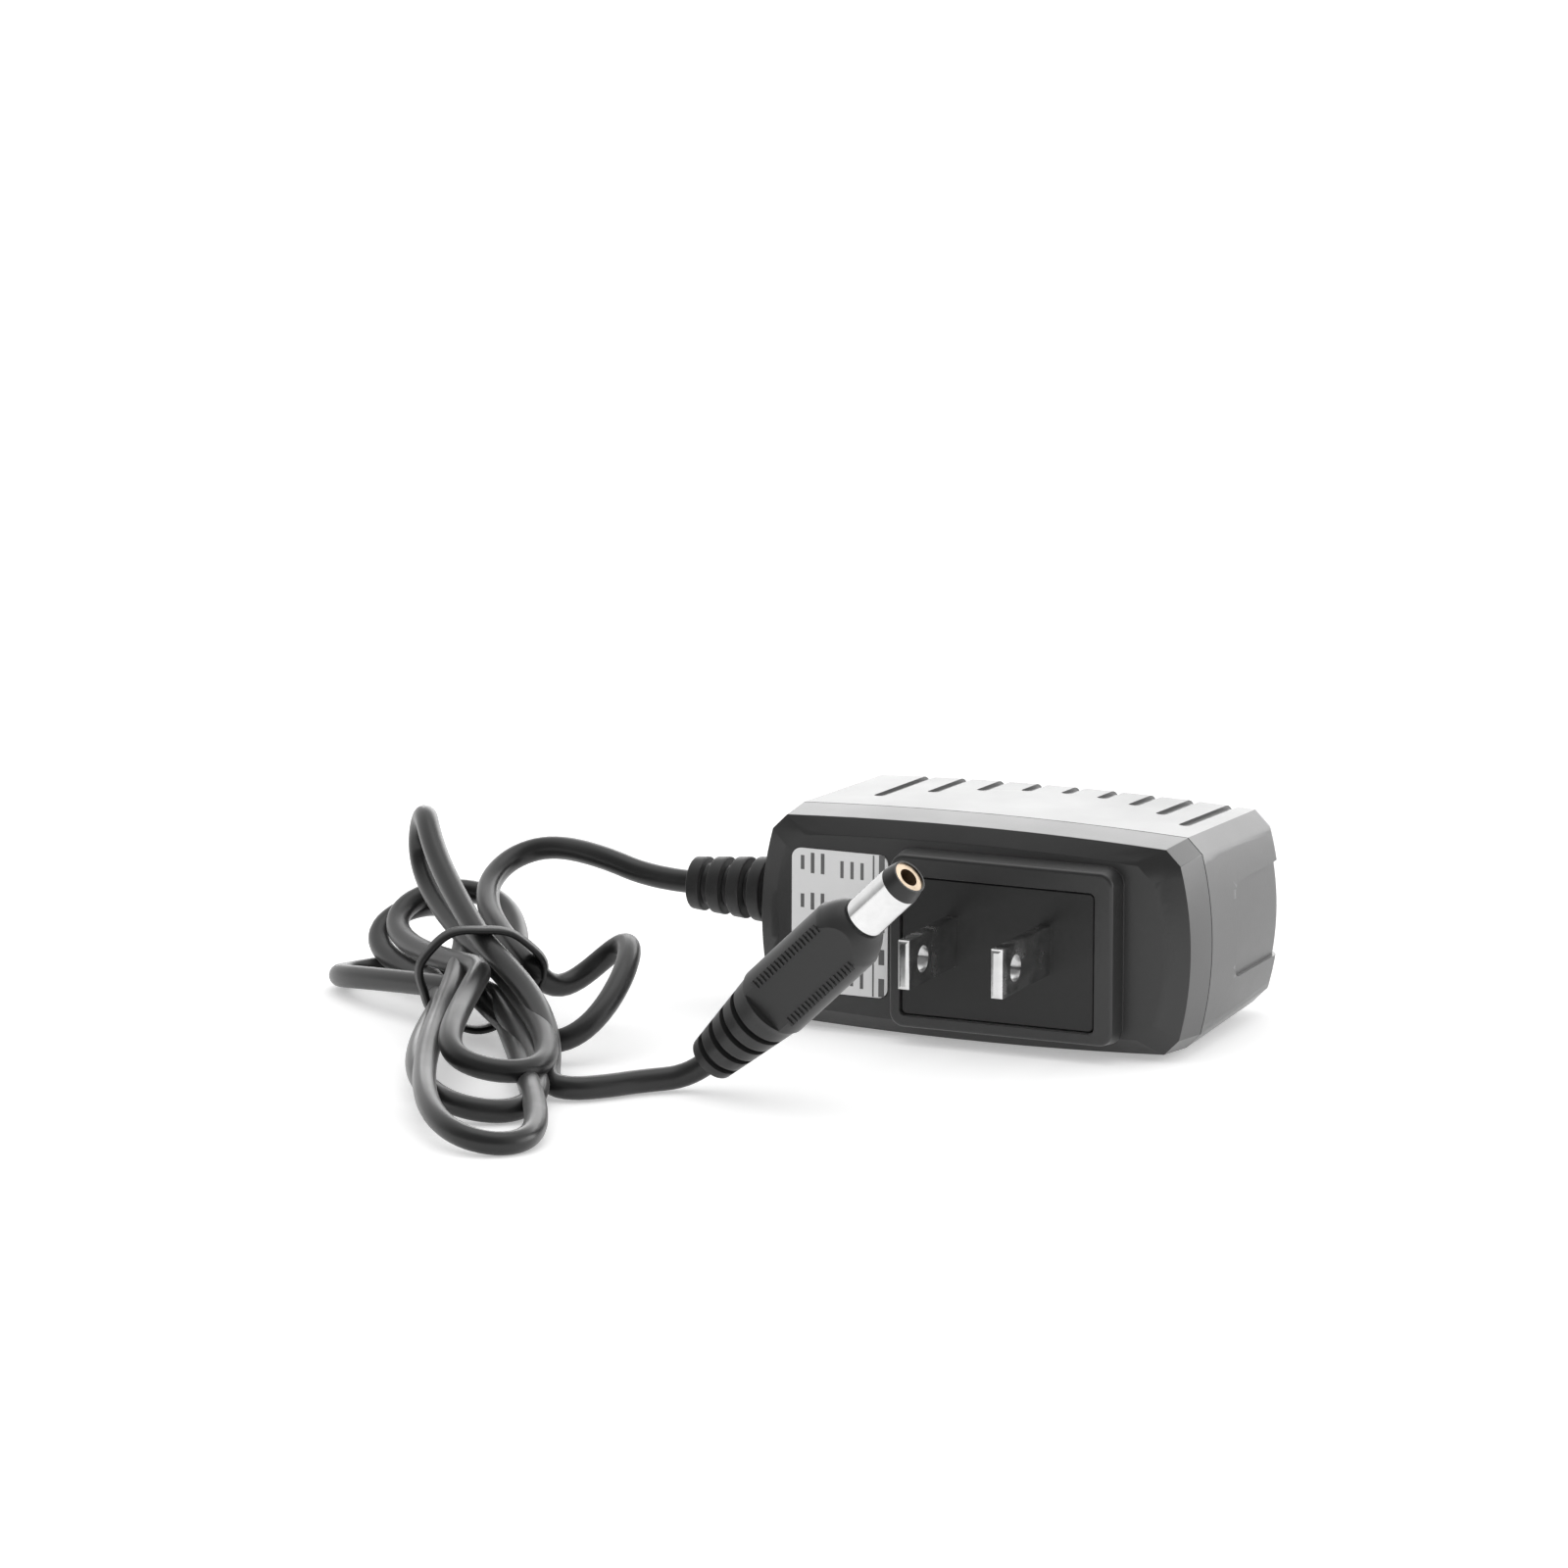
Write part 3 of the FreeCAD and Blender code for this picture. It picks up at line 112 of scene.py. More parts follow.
# Plain bars on the label: name, place of the middle column, columns, width, rows, height (mm)
PRINT = (("bars_left", 2.9, 3, 0.5, 4, 15.0), ("bars_right", 8.4, 3, 0.45, 3, 14.0),
         ("bars_edge", 12.55, 1, 0.8, 5, 16.0))
PRINT_PITCH = 0.0014
RULE_PLACE = 0.0114
RULE_WIDTH = 0.00022
ABOVE_FILM = 0.00001

# The tie's ring round the waist: its middle (aside, height) and half sizes, in millimetres
TIE_MIDDLE = (0.8, 7.9)
TIE_HALF = (7.9, 6.7)
TIE_STEPS = 72

# How a carried-over mesh is merged before its edges are rounded
MERGE_DISTANCE = 2e-6
FLAT_WITHIN = math.radians(0.2)
SHARP_FROM = math.radians(30)


def mesh_piece(name, vertices, faces, material=None, smooth=True):
    """A new mesh object whose place is in its mesh."""
    mesh = bpy.data.meshes.new(name)
    mesh.from_pydata([tuple(v) for v in vertices], [], faces)
    mesh.validate()
    mesh.update()
    piece = bpy.data.objects.new(name, mesh)
    bpy.context.scene.collection.objects.link(piece)
    if material:
        mesh.materials.append(material)
    if smooth:
        mesh.shade_smooth()
    return piece


def settle(piece, stands_for=()):
    """Ties a finished piece to the object's body, and says what it stands for."""
    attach(piece, BODY)
    if stands_for:
        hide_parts(*stands_for)
    return piece


def group_tree(name, inputs, outputs):
    """An empty shader group with named sockets, and its input and output nodes."""
    tree = bpy.data.node_groups.new(name, "ShaderNodeTree")
    for label, kind, value in inputs:
        socket = tree.interface.new_socket(name=label, in_out="INPUT", socket_type=kind)
        socket.default_value = value
    for label, kind in outputs:
        tree.interface.new_socket(name=label, in_out="OUTPUT", socket_type=kind)
    start = tree.nodes.new("NodeGroupInput")
    end = tree.nodes.new("NodeGroupOutput")
    return tree, start, end


def add_node(tree, kind, **values):
    node = tree.nodes.new(kind)
    for key, value in values.items():
        if key in node.inputs:
            node.inputs[key].default_value = value
        else:
            setattr(node, key, value)
    return node


def math_node(tree, operation, first, second=None):
    """One sum in a shader tree; its inputs are sockets or plain numbers."""
    node = tree.nodes.new("ShaderNodeMath")
    node.operation = operation
    for index, value in enumerate((first, second)):
        if value is None:
            continue
        if isinstance(value, (int, float)):
            node.inputs[index].default_value = value
        else:
            tree.links.new(value, node.inputs[index])
    return node.outputs[0]


def grain_group():
    """Fine spark-eroded grain of a moulded surface, as a height."""
    tree, start, end = group_tree(
        "Mould Grain",
        [("Vector", "NodeSocketVector", (0, 0, 0)), ("Grain Scale", "NodeSocketFloat", 3000.0),
         ("Wave Scale", "NodeSocketFloat", 120.0), ("Wave Share", "NodeSocketFloat", 0.3)],
        [("Height", "NodeSocketFloat")])
    fine = add_node(tree, "ShaderNodeTexNoise", Detail=3.0, Roughness=0.6)
    broad = add_node(tree, "ShaderNodeTexNoise", Detail=2.0)
    tree.links.new(start.outputs["Vector"], fine.inputs["Vector"])
    tree.links.new(start.outputs["Vector"], broad.inputs["Vector"])
    tree.links.new(start.outputs["Grain Scale"], fine.inputs["Scale"])
    tree.links.new(start.outputs["Wave Scale"], broad.inputs["Scale"])
    wave = math_node(tree, "MULTIPLY", broad.outputs["Fac"], start.outputs["Wave Share"])
    total = math_node(tree, "ADD", fine.outputs["Fac"], wave)
    tree.links.new(total, end.inputs["Height"])
    return tree


def tone_group():
    """Slow unevenness of colour and gloss across a surface."""
    tree, start, end = group_tree(
        "Uneven Tone",
        [("Vector", "NodeSocketVector", (0, 0, 0)), ("Scale", "NodeSocketFloat", 60.0),
         ("Dark", "NodeSocketColor", (0.01, 0.01, 0.01, 1)),
         ("Light", "NodeSocketColor", (0.02, 0.02, 0.02, 1)),
         ("Smoothest", "NodeSocketFloat", 0.4), ("Roughest", "NodeSocketFloat", 0.5)],
        [("Color", "NodeSocketColor"), ("Roughness", "NodeSocketFloat")])
    noise = add_node(tree, "ShaderNodeTexNoise", Detail=4.0, Roughness=0.55)
    tree.links.new(start.outputs["Vector"], noise.inputs["Vector"])
    tree.links.new(start.outputs["Scale"], noise.inputs["Scale"])
    spread = add_node(tree, "ShaderNodeMapRange")
    spread.inputs["From Min"].default_value = 0.35
    spread.inputs["From Max"].default_value = 0.65
    tree.links.new(noise.outputs["Fac"], spread.inputs["Value"])
    mix = tree.nodes.new("ShaderNodeMix")
    mix.data_type = "RGBA"
    tree.links.new(spread.outputs["Result"], mix.inputs["Factor"])
    tree.links.new(start.outputs["Dark"], mix.inputs["A"])
    tree.links.new(start.outputs["Light"], mix.inputs["B"])
    tree.links.new(mix.outputs["Result"], end.inputs["Color"])
    gloss = add_node(tree, "ShaderNodeMapRange")
    tree.links.new(spread.outputs["Result"], gloss.inputs["Value"])
    tree.links.new(start.outputs["Smoothest"], gloss.inputs["To Min"])
    tree.links.new(start.outputs["Roughest"], gloss.inputs["To Max"])
    tree.links.new(gloss.outputs["Result"], end.inputs["Roughness"])
    return tree


def dust_group():
    """Scattered pale specks, as a mask."""
    tree, start, end = group_tree(
        "Dust Specks",
        [("Vector", "NodeSocketVector", (0, 0, 0)), ("Scale", "NodeSocketFloat", 500.0),
         ("Size", "NodeSocketFloat", 0.12), ("Share", "NodeSocketFloat", 0.06)],
        [("Mask", "NodeSocketFloat")])
    cells = add_node(tree, "ShaderNodeTexVoronoi")
    tree.links.new(start.outputs["Vector"], cells.inputs["Vector"])
    tree.links.new(start.outputs["Scale"], cells.inputs["Scale"])
    near = math_node(tree, "LESS_THAN", cells.outputs["Distance"], start.outputs["Size"])
    apart = tree.nodes.new("ShaderNodeSeparateColor")
    tree.links.new(cells.outputs["Color"], apart.inputs["Color"])
    chosen = math_node(tree, "LESS_THAN", apart.outputs["Red"], start.outputs["Share"])
    tree.links.new(math_node(tree, "MULTIPLY", near, chosen), end.inputs["Mask"])
    return tree


SHARED = {}


def shared_group(build):
    """A node group that is built once and found again by its builder."""
    name = build.__name__
    if name not in SHARED:
        SHARED[name] = build()
    return SHARED[name]


def group_node(tree, build, vector, **values):
    node = tree.nodes.new("ShaderNodeGroup")
    node.node_tree = shared_group(build)
    tree.links.new(vector, node.inputs["Vector"])
    for key, value in values.items():
        node.inputs[key.replace("_", " ")].default_value = value
    return node


def new_material(name):
    """A node material and its tree, shader and object coordinates."""
    material = bpy.data.materials.new(name)
    material.use_nodes = True
    tree = material.node_tree
    shader = tree.nodes["Principled BSDF"]
    coordinates = tree.nodes.new("ShaderNodeTexCoord")
    return material, tree, shader, coordinates.outputs["Object"]


def rgb(value, warm=0.0):
    """A grey as a colour, warmer or cooler where asked."""
    return (value * (1 + warm), value, value * (1 - warm), 1.0)


def add_bump(tree, shader, height, strength, distance):
    bump = tree.nodes.new("ShaderNodeBump")
    bump.inputs["Strength"].default_value = strength
    bump.inputs["Distance"].default_value = distance
    tree.links.new(height, bump.inputs["Height"])
    tree.links.new(bump.outputs["Normal"], shader.inputs["Normal"])


def plastic(name, dark, light, smoothest, roughest, grain=3000.0, bump=0.3, depth=0.00003, dust=0.0,
            sheen=0.0, warm=0.0, coat=0.0):
    """Moulded plastic or rubber with grain, uneven gloss and, where asked, dust."""
    material, tree, shader, where = new_material(name)
    tone = group_node(tree, tone_group, where, Dark=rgb(dark, warm), Light=rgb(light, warm),
                      Smoothest=smoothest, Roughest=roughest)
    colour = tone.outputs["Color"]
    if dust:
        specks = group_node(tree, dust_group, where, Share=dust)
        mix = tree.nodes.new("ShaderNodeMix")
        mix.data_type = "RGBA"
        mix.inputs["B"].default_value = rgb(0.35)
        tree.links.new(specks.outputs["Mask"], mix.inputs["Factor"])
        tree.links.new(colour, mix.inputs["A"])
        colour = mix.outputs["Result"]
    tree.links.new(colour, shader.inputs["Base Color"])
    tree.links.new(tone.outputs["Roughness"], shader.inputs["Roughness"])
    moulded = group_node(tree, grain_group, where, Grain_Scale=grain)
    add_bump(tree, shader, moulded.outputs["Height"], bump, depth)
    shader.inputs["Sheen Weight"].default_value = sheen
    shader.inputs["Sheen Roughness"].default_value = 0.35
    shader.inputs["Coat Weight"].default_value = coat
    shader.inputs["Coat Roughness"].default_value = 0.3
    return material


def metal(name, dark, light, smoothest, roughest, warm=0.0, grain=1500.0, bump=0.15):
    """Plated or rolled metal with slight unevenness."""
    material, tree, shader, where = new_material(name)
    tone = group_node(tree, tone_group, where, Scale=350.0, Dark=rgb(dark, warm),
                      Light=rgb(light, warm), Smoothest=smoothest, Roughest=roughest)
    tree.links.new(tone.outputs["Color"], shader.inputs["Base Color"])
    tree.links.new(tone.outputs["Roughness"], shader.inputs["Roughness"])
    shader.inputs["Metallic"].default_value = 1.0
    rolled = group_node(tree, grain_group, where, Grain_Scale=grain)
    add_bump(tree, shader, rolled.outputs["Height"], bump, 0.00001)
    return material


class AdapterFinish(bpy.types.PropertyGroup):
    """Colours and gloss of the moulded parts."""
    housing_dark: bpy.props.FloatProperty(
        name="Housing Dark", description="Darkest grey of the housing", default=0.012, min=0, max=1)
    housing_light: bpy.props.FloatProperty(
        name="Housing Light", description="Lightest grey of the housing", default=0.018, min=0, max=1)
    housing_gloss: bpy.props.FloatProperty(
        name="Housing Roughness", description="Roughness of the housing", default=0.36, min=0, max=1,
        subtype="FACTOR")
    edge_radius: bpy.props.FloatProperty(
        name="Edge Radius", description="Rounding of the housing's moulded edges", default=0.00028,
        unit="LENGTH", subtype="DISTANCE")
    label_white: bpy.props.FloatProperty(
        name="Label White", description="Grey value of the label's film", default=0.80, min=0, max=1)


class AdapterCord(bpy.types.PropertyGroup):
    """Sizes of the cord and its tie."""
    diameter: bpy.props.FloatProperty(
        name="Cord Diameter", description="Outer diameter of the cord's jacket", default=0.0030,
        unit="LENGTH", subtype="DISTANCE")
    spacing: bpy.props.FloatProperty(
        name="Ring Spacing", description="Distance between the rings of the cord's mesh",
        default=0.0009, unit="LENGTH", subtype="DISTANCE")
    sides: bpy.props.IntProperty(
        name="Ring Sides", description="Faces round the cord's mesh", default=20, min=8, max=48)
    tie_thickness: bpy.props.FloatProperty(
        name="Tie Thickness", description="Thickness of the twist tie", default=0.0009,
        unit="LENGTH", subtype="DISTANCE")
    tie_width: bpy.props.FloatProperty(
        name="Tie Width", description="Width of the twist tie", default=0.0030,
        unit="LENGTH", subtype="DISTANCE")


class AdapterStage(bpy.types.PropertyGroup):
    """The floor, the surround and the lamps."""
    floor_white: bpy.props.FloatProperty(
        name="Floor White", description="How pale the floor is", default=0.85, min=0.0, max=1.0)
    fill: bpy.props.FloatProperty(
        name="Fill", description="Strength of the even light all round", default=1.0, min=0.0)
    surround: bpy.props.FloatProperty(
        name="Surround", description="Strength of the surround as a gloss reflects it", default=1.0, min=0.0)
    front_card: bpy.props.FloatProperty(
        name="Front Card", description="Strength reflected from the camera's side", default=0.25, min=0.0)
    back_light: bpy.props.FloatProperty(
        name="Back Light", description="Strength of the boxes behind the object", default=2.2, min=0.0)


def smooth_line(points):
    """The points that a NURBS curve of order three through a list of control points makes."""
    curve = bpy.data.curves.new("route", "CURVE")
    curve.dimensions = "3D"
    curve.resolution_u = 8
    spline = curve.splines.new("NURBS")
    spline.points.add(len(points) - 1)
    for spot, point in zip(spline.points, points):
        spot.co = (*point, 1.0)
    spline.order_u = 3
    spline.use_endpoint_u = True
    holder = bpy.data.objects.new("route", curve)
    bpy.context.scene.collection.objects.link(holder)
    mesh = bpy.data.meshes.new_from_object(holder)
    line = [vertex.co.copy() for vertex in mesh.vertices]
    bpy.data.objects.remove(holder)
    return line


def evenly(points, spacing):
    """Points at even distances along a line."""
    line = np.array(points)
    steps = np.linalg.norm(np.diff(line, axis=0), axis=1)
    reach = np.concatenate([[0.0], np.cumsum(steps)])
    count = max(2, round(reach[-1] / spacing)) + 1
    wanted = np.linspace(0.0, reach[-1], count)
    return np.stack([np.interp(wanted, reach, line[:, axis]) for axis in range(3)], axis=1)


def tube_mesh(name, points, radius, sides, material):
    """A closed round tube along points, with its length and turn in a UV map."""
    points = np.array(points)
    count = len(points)
    tangents = np.gradient(points, axis=0)
    tangents /= np.linalg.norm(tangents, axis=1)[:, None]
    normal = np.cross(tangents[0], (0.0, 0.0, 1.0))
    normal /= np.linalg.norm(normal)
    vertices = []
    for index in range(count):
        normal = normal - tangents[index] * (normal @ tangents[index])
        normal /= np.linalg.norm(normal)
        side = np.cross(tangents[index], normal)
        for turn in range(sides):
            angle = 2 * math.pi * turn / sides
            offset = math.cos(angle) * normal + math.sin(angle) * side
            vertices.append(points[index] + radius * offset)
    faces = []
    for index in range(count - 1):
        for turn in range(sides):
            following = (turn + 1) % sides
            base, top = index * sides, (index + 1) * sides
            faces.append((base + turn, base + following, top + following, top + turn))
    faces.append(tuple(reversed(range(sides))))
    faces.append(tuple(range((count - 1) * sides, count * sides)))
    piece = mesh_piece(name, vertices, faces, material)
    uv = piece.data.uv_layers.new(name="UVMap")
    for polygon in piece.data.polygons:
        for corner, vertex in zip(polygon.loop_indices, polygon.vertices):
            uv.data[corner].uv = (vertex // sides * 0.01, vertex % sides / sides)
    return piece


def on_hank(spot):
    """A place given along, aside and above in the hank's own millimetres."""
    along, aside, height = spot
    return WAIST + (ALONG * along + ACROSS * aside + Vector((0, 0, height))) * MM


def hank_points():
    """Control points of the hank: each loop leaves the waist, opens like a drop and returns."""
    points = []
    for index, (reach, opening, blunt) in enumerate(LOOPS):
        start = Vector((0.0, *CROSSINGS[index]))
        end = Vector((0.0, *CROSSINGS[index + 1]))
        out = Vector(reach) - start.lerp(end, 0.5)
        for step in range(LOOP_POINTS):
            share = step / LOOP_POINTS
            turn = math.pi * share
            spot = start.lerp(end, share) + out * math.sin(turn)
            spot += Vector(opening) * math.sin(2 * turn) + Vector(blunt) * math.sin(3 * turn)
            points.append(on_hank(spot))
    start = Vector((0.0, *CROSSINGS[-1]))
    end, swing = (Vector(spot) for spot in LAST_STRAND)
    for step in range(LAST_POINTS):
        share = step / LAST_POINTS
        points.append(on_hank(start.lerp(end, share) + swing * math.sin(math.pi * share)))
    return points


def cord_route():
    """Control points of the whole cord, from the relief to the plug."""
    low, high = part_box("strain_relief")
    exit_point = Vector((low.x, (low.y + high.y) / 2, (low.z + high.z) / 2))
    straight_out = exit_point - Vector((RELIEF_STRAIGHT, 0, 0))
    axis = Vector((math.cos(PLUG_RISE) * math.cos(PLUG_TURN), math.cos(PLUG_RISE) * math.sin(PLUG_TURN),
                   math.sin(PLUG_RISE)))
    under_plug = PLUG_END - axis * PLUG_STRAIGHT
    route = [exit_point, straight_out] + [Vector(spot) for spot in LEAD_ROUTE]
    route += hank_points()
    route += [Vector(spot) for spot in TAIL_ROUTE] + [under_plug, PLUG_END]
    return route


class ADAPTER_OT_cord(bpy.types.Operator):
    """Lays the cord along its route, with the hank's loops"""
    bl_idname = "adapter.cord"
    bl_label = "Lay Cord"

    def execute(self, context):
        sizes = context.scene.adapter_cord
        jacket = plastic("Cord Jacket", 0.010, 0.016, 0.30, 0.42, grain=1800.0, bump=0.12, sheen=0.2)
        route = cord_route()
        line = evenly(smooth_line(route), sizes.spacing)
        piece = tube_mesh("cord", line, sizes.diameter / 2, sizes.sides, jacket)
        settle(piece, ("cord_lead", "cord_hank", "cord_tail"))
        return {"FINISHED"}


class ADAPTER_OT_housing(bpy.types.Operator):
    """Gives the housing's shells and the blade insert their moulded finish"""
    bl_idname = "adapter.housing"
    bl_label = "Finish Housing"

    def execute(self, context):
        finish = context.scene.adapter_finish
        shell = plastic("Housing Plastic", finish.housing_dark, finish.housing_light,
                        finish.housing_gloss, finish.housing_gloss + 0.06, sheen=0.25, coat=0.3)
        insert = plastic("Insert Plastic", 0.009, 0.014, 0.40, 0.48)
        for node in ("front_shell", "rear_shell"):
            softened(node, shell, finish.edge_radius)
        dress("blade_carrier", insert)
        return {"FINISHED"}


def tie_mesh(material, thickness, width):
    """A flat band round the hank's waist, closed in a ring, thicker along its middle wire."""
    across = [(-0.5, 0.35), (-0.2, 0.5), (0.0, 0.72), (0.2, 0.5), (0.5, 0.35),
              (0.5, -0.35), (0.2, -0.5), (0.0, -0.6), (-0.2, -0.5), (-0.5, -0.35)]
    count = TIE_STEPS
    vertices = []
    for index in range(count):
        angle = 2 * math.pi * index / count
        slack = 1.0 + 0.035 * math.sin(3 * angle + 0.6) + 0.02 * math.sin(7 * angle)
        lean = 0.9 * math.sin(angle - 0.5)
        for side, out in across:
            reach = slack + out * thickness / MM / TIE_HALF[0]
            aside = TIE_MIDDLE[0] + TIE_HALF[0] * reach * math.cos(angle)
            height = TIE_MIDDLE[1] + TIE_HALF[1] * reach * math.sin(angle)
            vertices.append(on_hank((lean + side * width / MM, aside, height)))
    sides = len(across)
    faces = []
    for index in range(count):
        following = (index + 1) % count
        for side in range(sides):
            other = (side + 1) % sides
            faces.append((index * sides + side, index * sides + other,
                          following * sides + other, following * sides + side))
    piece = mesh_piece("twist_tie_band", vertices, faces, material)
    outwards(piece.data)
    return piece


def outwards(mesh):
    """Turns the faces of a closed mesh outwards."""
    shape = bmesh.new()
    shape.from_mesh(mesh)
    bmesh.ops.recalc_face_normals(shape, faces=shape.faces)
    shape.to_mesh(mesh)
    shape.free()


def softened(node, material, width, segments=2):
    """A merged copy of a carried-over part with its moulded edges rounded; it stands for the part."""
    source = NODES[node].data
    shape = bmesh.new()
    shape.from_mesh(source)
    bmesh.ops.remove_doubles(shape, verts=shape.verts, dist=MERGE_DISTANCE)
    bmesh.ops.dissolve_limit(shape, angle_limit=FLAT_WITHIN, verts=shape.verts, edges=shape.edges)
    for face in shape.faces:
        face.smooth = True
    mesh = bpy.data.meshes.new(f"{node}_body")
    shape.to_mesh(mesh)
    shape.free()
    holder = bpy.data.objects.new(f"{node}_body", mesh)
    bpy.context.scene.collection.objects.link(holder)
    edges = holder.modifiers.new("Edges", "BEVEL")
    edges.width = width
    edges.segments = segments
    edges.limit_method = "ANGLE"
    edges.angle_limit = SHARP_FROM
    weights = holder.modifiers.new("Weights", "WEIGHTED_NORMAL")
    weights.weight = 100
    finished = bpy.data.meshes.new_from_object(holder.evaluated_get(bpy.context.evaluated_depsgraph_get()))
    bpy.data.objects.remove(holder)
    piece = bpy.data.objects.new(f"{node}_soft", finished)
    bpy.context.scene.collection.objects.link(piece)
    finished.materials.clear()
    finished.materials.append(material)
    return settle(piece, (node,))


def bars_tree():
    """Geometry nodes: a grid of small bars of random length, in the ground plane."""
    tree = bpy.data.node_groups.new("Rows of Bars", "GeometryNodeTree")
    sockets = (("Columns", "NodeSocketInt", 3), ("Rows", "NodeSocketInt", 6),
               ("Length", "NodeSocketFloat", 0.003), ("Height", "NodeSocketFloat", 0.015),
               ("Bar Width", "NodeSocketFloat", 0.0006), ("Shortest", "NodeSocketFloat", 0.001),
               ("Longest", "NodeSocketFloat", 0.002), ("Thickness", "NodeSocketFloat", 0.00002),
               ("Material", "NodeSocketMaterial", None))
    for name, kind, value in sockets:
        socket = tree.interface.new_socket(name=name, in_out="INPUT", socket_type=kind)
        if value is not None:
            socket.default_value = value
    tree.interface.new_socket(name="Geometry", in_out="OUTPUT", socket_type="NodeSocketGeometry")
    start, end = tree.nodes.new("NodeGroupInput"), tree.nodes.new("NodeGroupOutput")
    grid = tree.nodes.new("GeometryNodeMeshGrid")
    points = tree.nodes.new("GeometryNodeMeshToPoints")
    cube = tree.nodes.new("GeometryNodeMeshCube")
    place = tree.nodes.new("GeometryNodeInstanceOnPoints")
    chance = tree.nodes.new("FunctionNodeRandomValue")
    chance.inputs["Seed"].default_value = 7
    size = tree.nodes.new("ShaderNodeCombineXYZ")
    realize = tree.nodes.new("GeometryNodeRealizeInstances")
    paint = tree.nodes.new("GeometryNodeSetMaterial")
    links = ((start.outputs["Columns"], grid.inputs["Vertices X"]),
             (start.outputs["Rows"], grid.inputs["Vertices Y"]),
             (start.outputs["Length"], grid.inputs["Size X"]),
             (start.outputs["Height"], grid.inputs["Size Y"]),
             (grid.outputs["Mesh"], points.inputs["Mesh"]),
             (points.outputs["Points"], place.inputs["Points"]),
             (cube.outputs["Mesh"], place.inputs["Instance"]),
             (start.outputs["Shortest"], chance.inputs[2]), (start.outputs["Longest"], chance.inputs[3]),
             (start.outputs["Bar Width"], size.inputs["X"]), (chance.outputs[1], size.inputs["Y"]),
             (start.outputs["Thickness"], size.inputs["Z"]), (size.outputs["Vector"], place.inputs["Scale"]),
             (place.outputs["Instances"], realize.inputs["Geometry"]),
             (realize.outputs["Geometry"], paint.inputs["Geometry"]),
             (start.outputs["Material"], paint.inputs["Material"]),
             (paint.outputs["Geometry"], end.inputs["Geometry"]))
    for source, target in links:
        tree.links.new(source, target)
    return tree


def rows_of_bars(name, material, placing, **sizes):
    """A plain mesh of small bars, put in its place by a matrix."""
    tree = shared_group(bars_tree)
    holder = bpy.data.objects.new(name, bpy.data.meshes.new(name))
    bpy.context.scene.collection.objects.link(holder)
    rows = holder.modifiers.new("Rows", "NODES")
    rows.node_group = tree
    sizes["Material"] = material
    for item in tree.interface.items_tree:
        key = item.name.replace(" ", "_")
        if item.in_out == "INPUT" and key in sizes:
            rows[item.identifier] = sizes[key]
    mesh = bpy.data.meshes.new_from_object(holder.evaluated_get(bpy.context.evaluated_depsgraph_get()))
    bpy.data.objects.remove(holder)
    mesh.transform(placing)
    piece = bpy.data.objects.new(name, mesh)
    bpy.context.scene.collection.objects.link(piece)
    return piece


def dress(node, material):
    """Puts a material on a carried-over part."""
    slots = NODES[node].data.materials
    slots.clear()
    slots.append(material)


class ADAPTER_OT_metalwork(bpy.types.Operator):
    """Plates the blades and the plug's metal"""
    bl_idname = "adapter.metalwork"
    bl_label = "Plate Metal"

    def execute(self, context):
        nickel = metal("Blade Nickel", 0.55, 0.70, 0.16, 0.28)
        bright = metal("Barrel Nickel", 0.72, 0.82, 0.12, 0.2)
        spring = metal("Spring Bronze", 0.45, 0.60, 0.25, 0.35, warm=0.25)
        for node in ("blade_left", "blade_right"):
            dress(node, nickel)
        dress("plug_barrel", bright)
        for node in ("plug_inner_contact", "contact_left", "contact_right"):
            dress(node, spring)
        return {"FINISHED"}


class ADAPTER_OT_label(bpy.types.Operator):
    """Finishes the plain rating label"""
    bl_idname = "adapter.label"
    bl_label = "Finish Label"

    def execute(self, context):
        white = context.scene.adapter_finish.label_white
        film = plastic("Label Film", white * 0.96, white, 0.35, 0.45, grain=900.0, bump=0.05)
        dress("rating_label", film)
        ink = plastic("Label Ink", 0.10, 0.16, 0.4, 0.5, bump=0.05)
        low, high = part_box("rating_label")
        middle = (low.z + high.z) / 2
        stand = Matrix.Rotation(math.radians(90), 4, "X")
        for name, x, columns, width, rows, height in PRINT:
            place = Vector((low.x + x * MM, low.y - ABOVE_FILM, middle))
            bars = rows_of_bars(f"label_{name}", ink, Matrix.Translation(place) @ stand,
                                Columns=columns, Rows=rows, Length=PRINT_PITCH * (columns - 1),
                                Height=height * MM, Bar_Width=width * MM,
                                Shortest=height / rows * 0.45 * MM, Longest=height / rows * 0.85 * MM)
            settle(bars)
        place = Vector((low.x + RULE_PLACE, low.y - ABOVE_FILM, middle))
        rule = rows_of_bars("label_rule", ink, Matrix.Translation(place) @ stand, Columns=1, Rows=1,
                            Length=0.0, Height=0.0, Bar_Width=RULE_WIDTH, Shortest=high.z - low.z - 0.0002,
                            Longest=high.z - low.z - 0.0002)
        settle(rule)
        return {"FINISHED"}


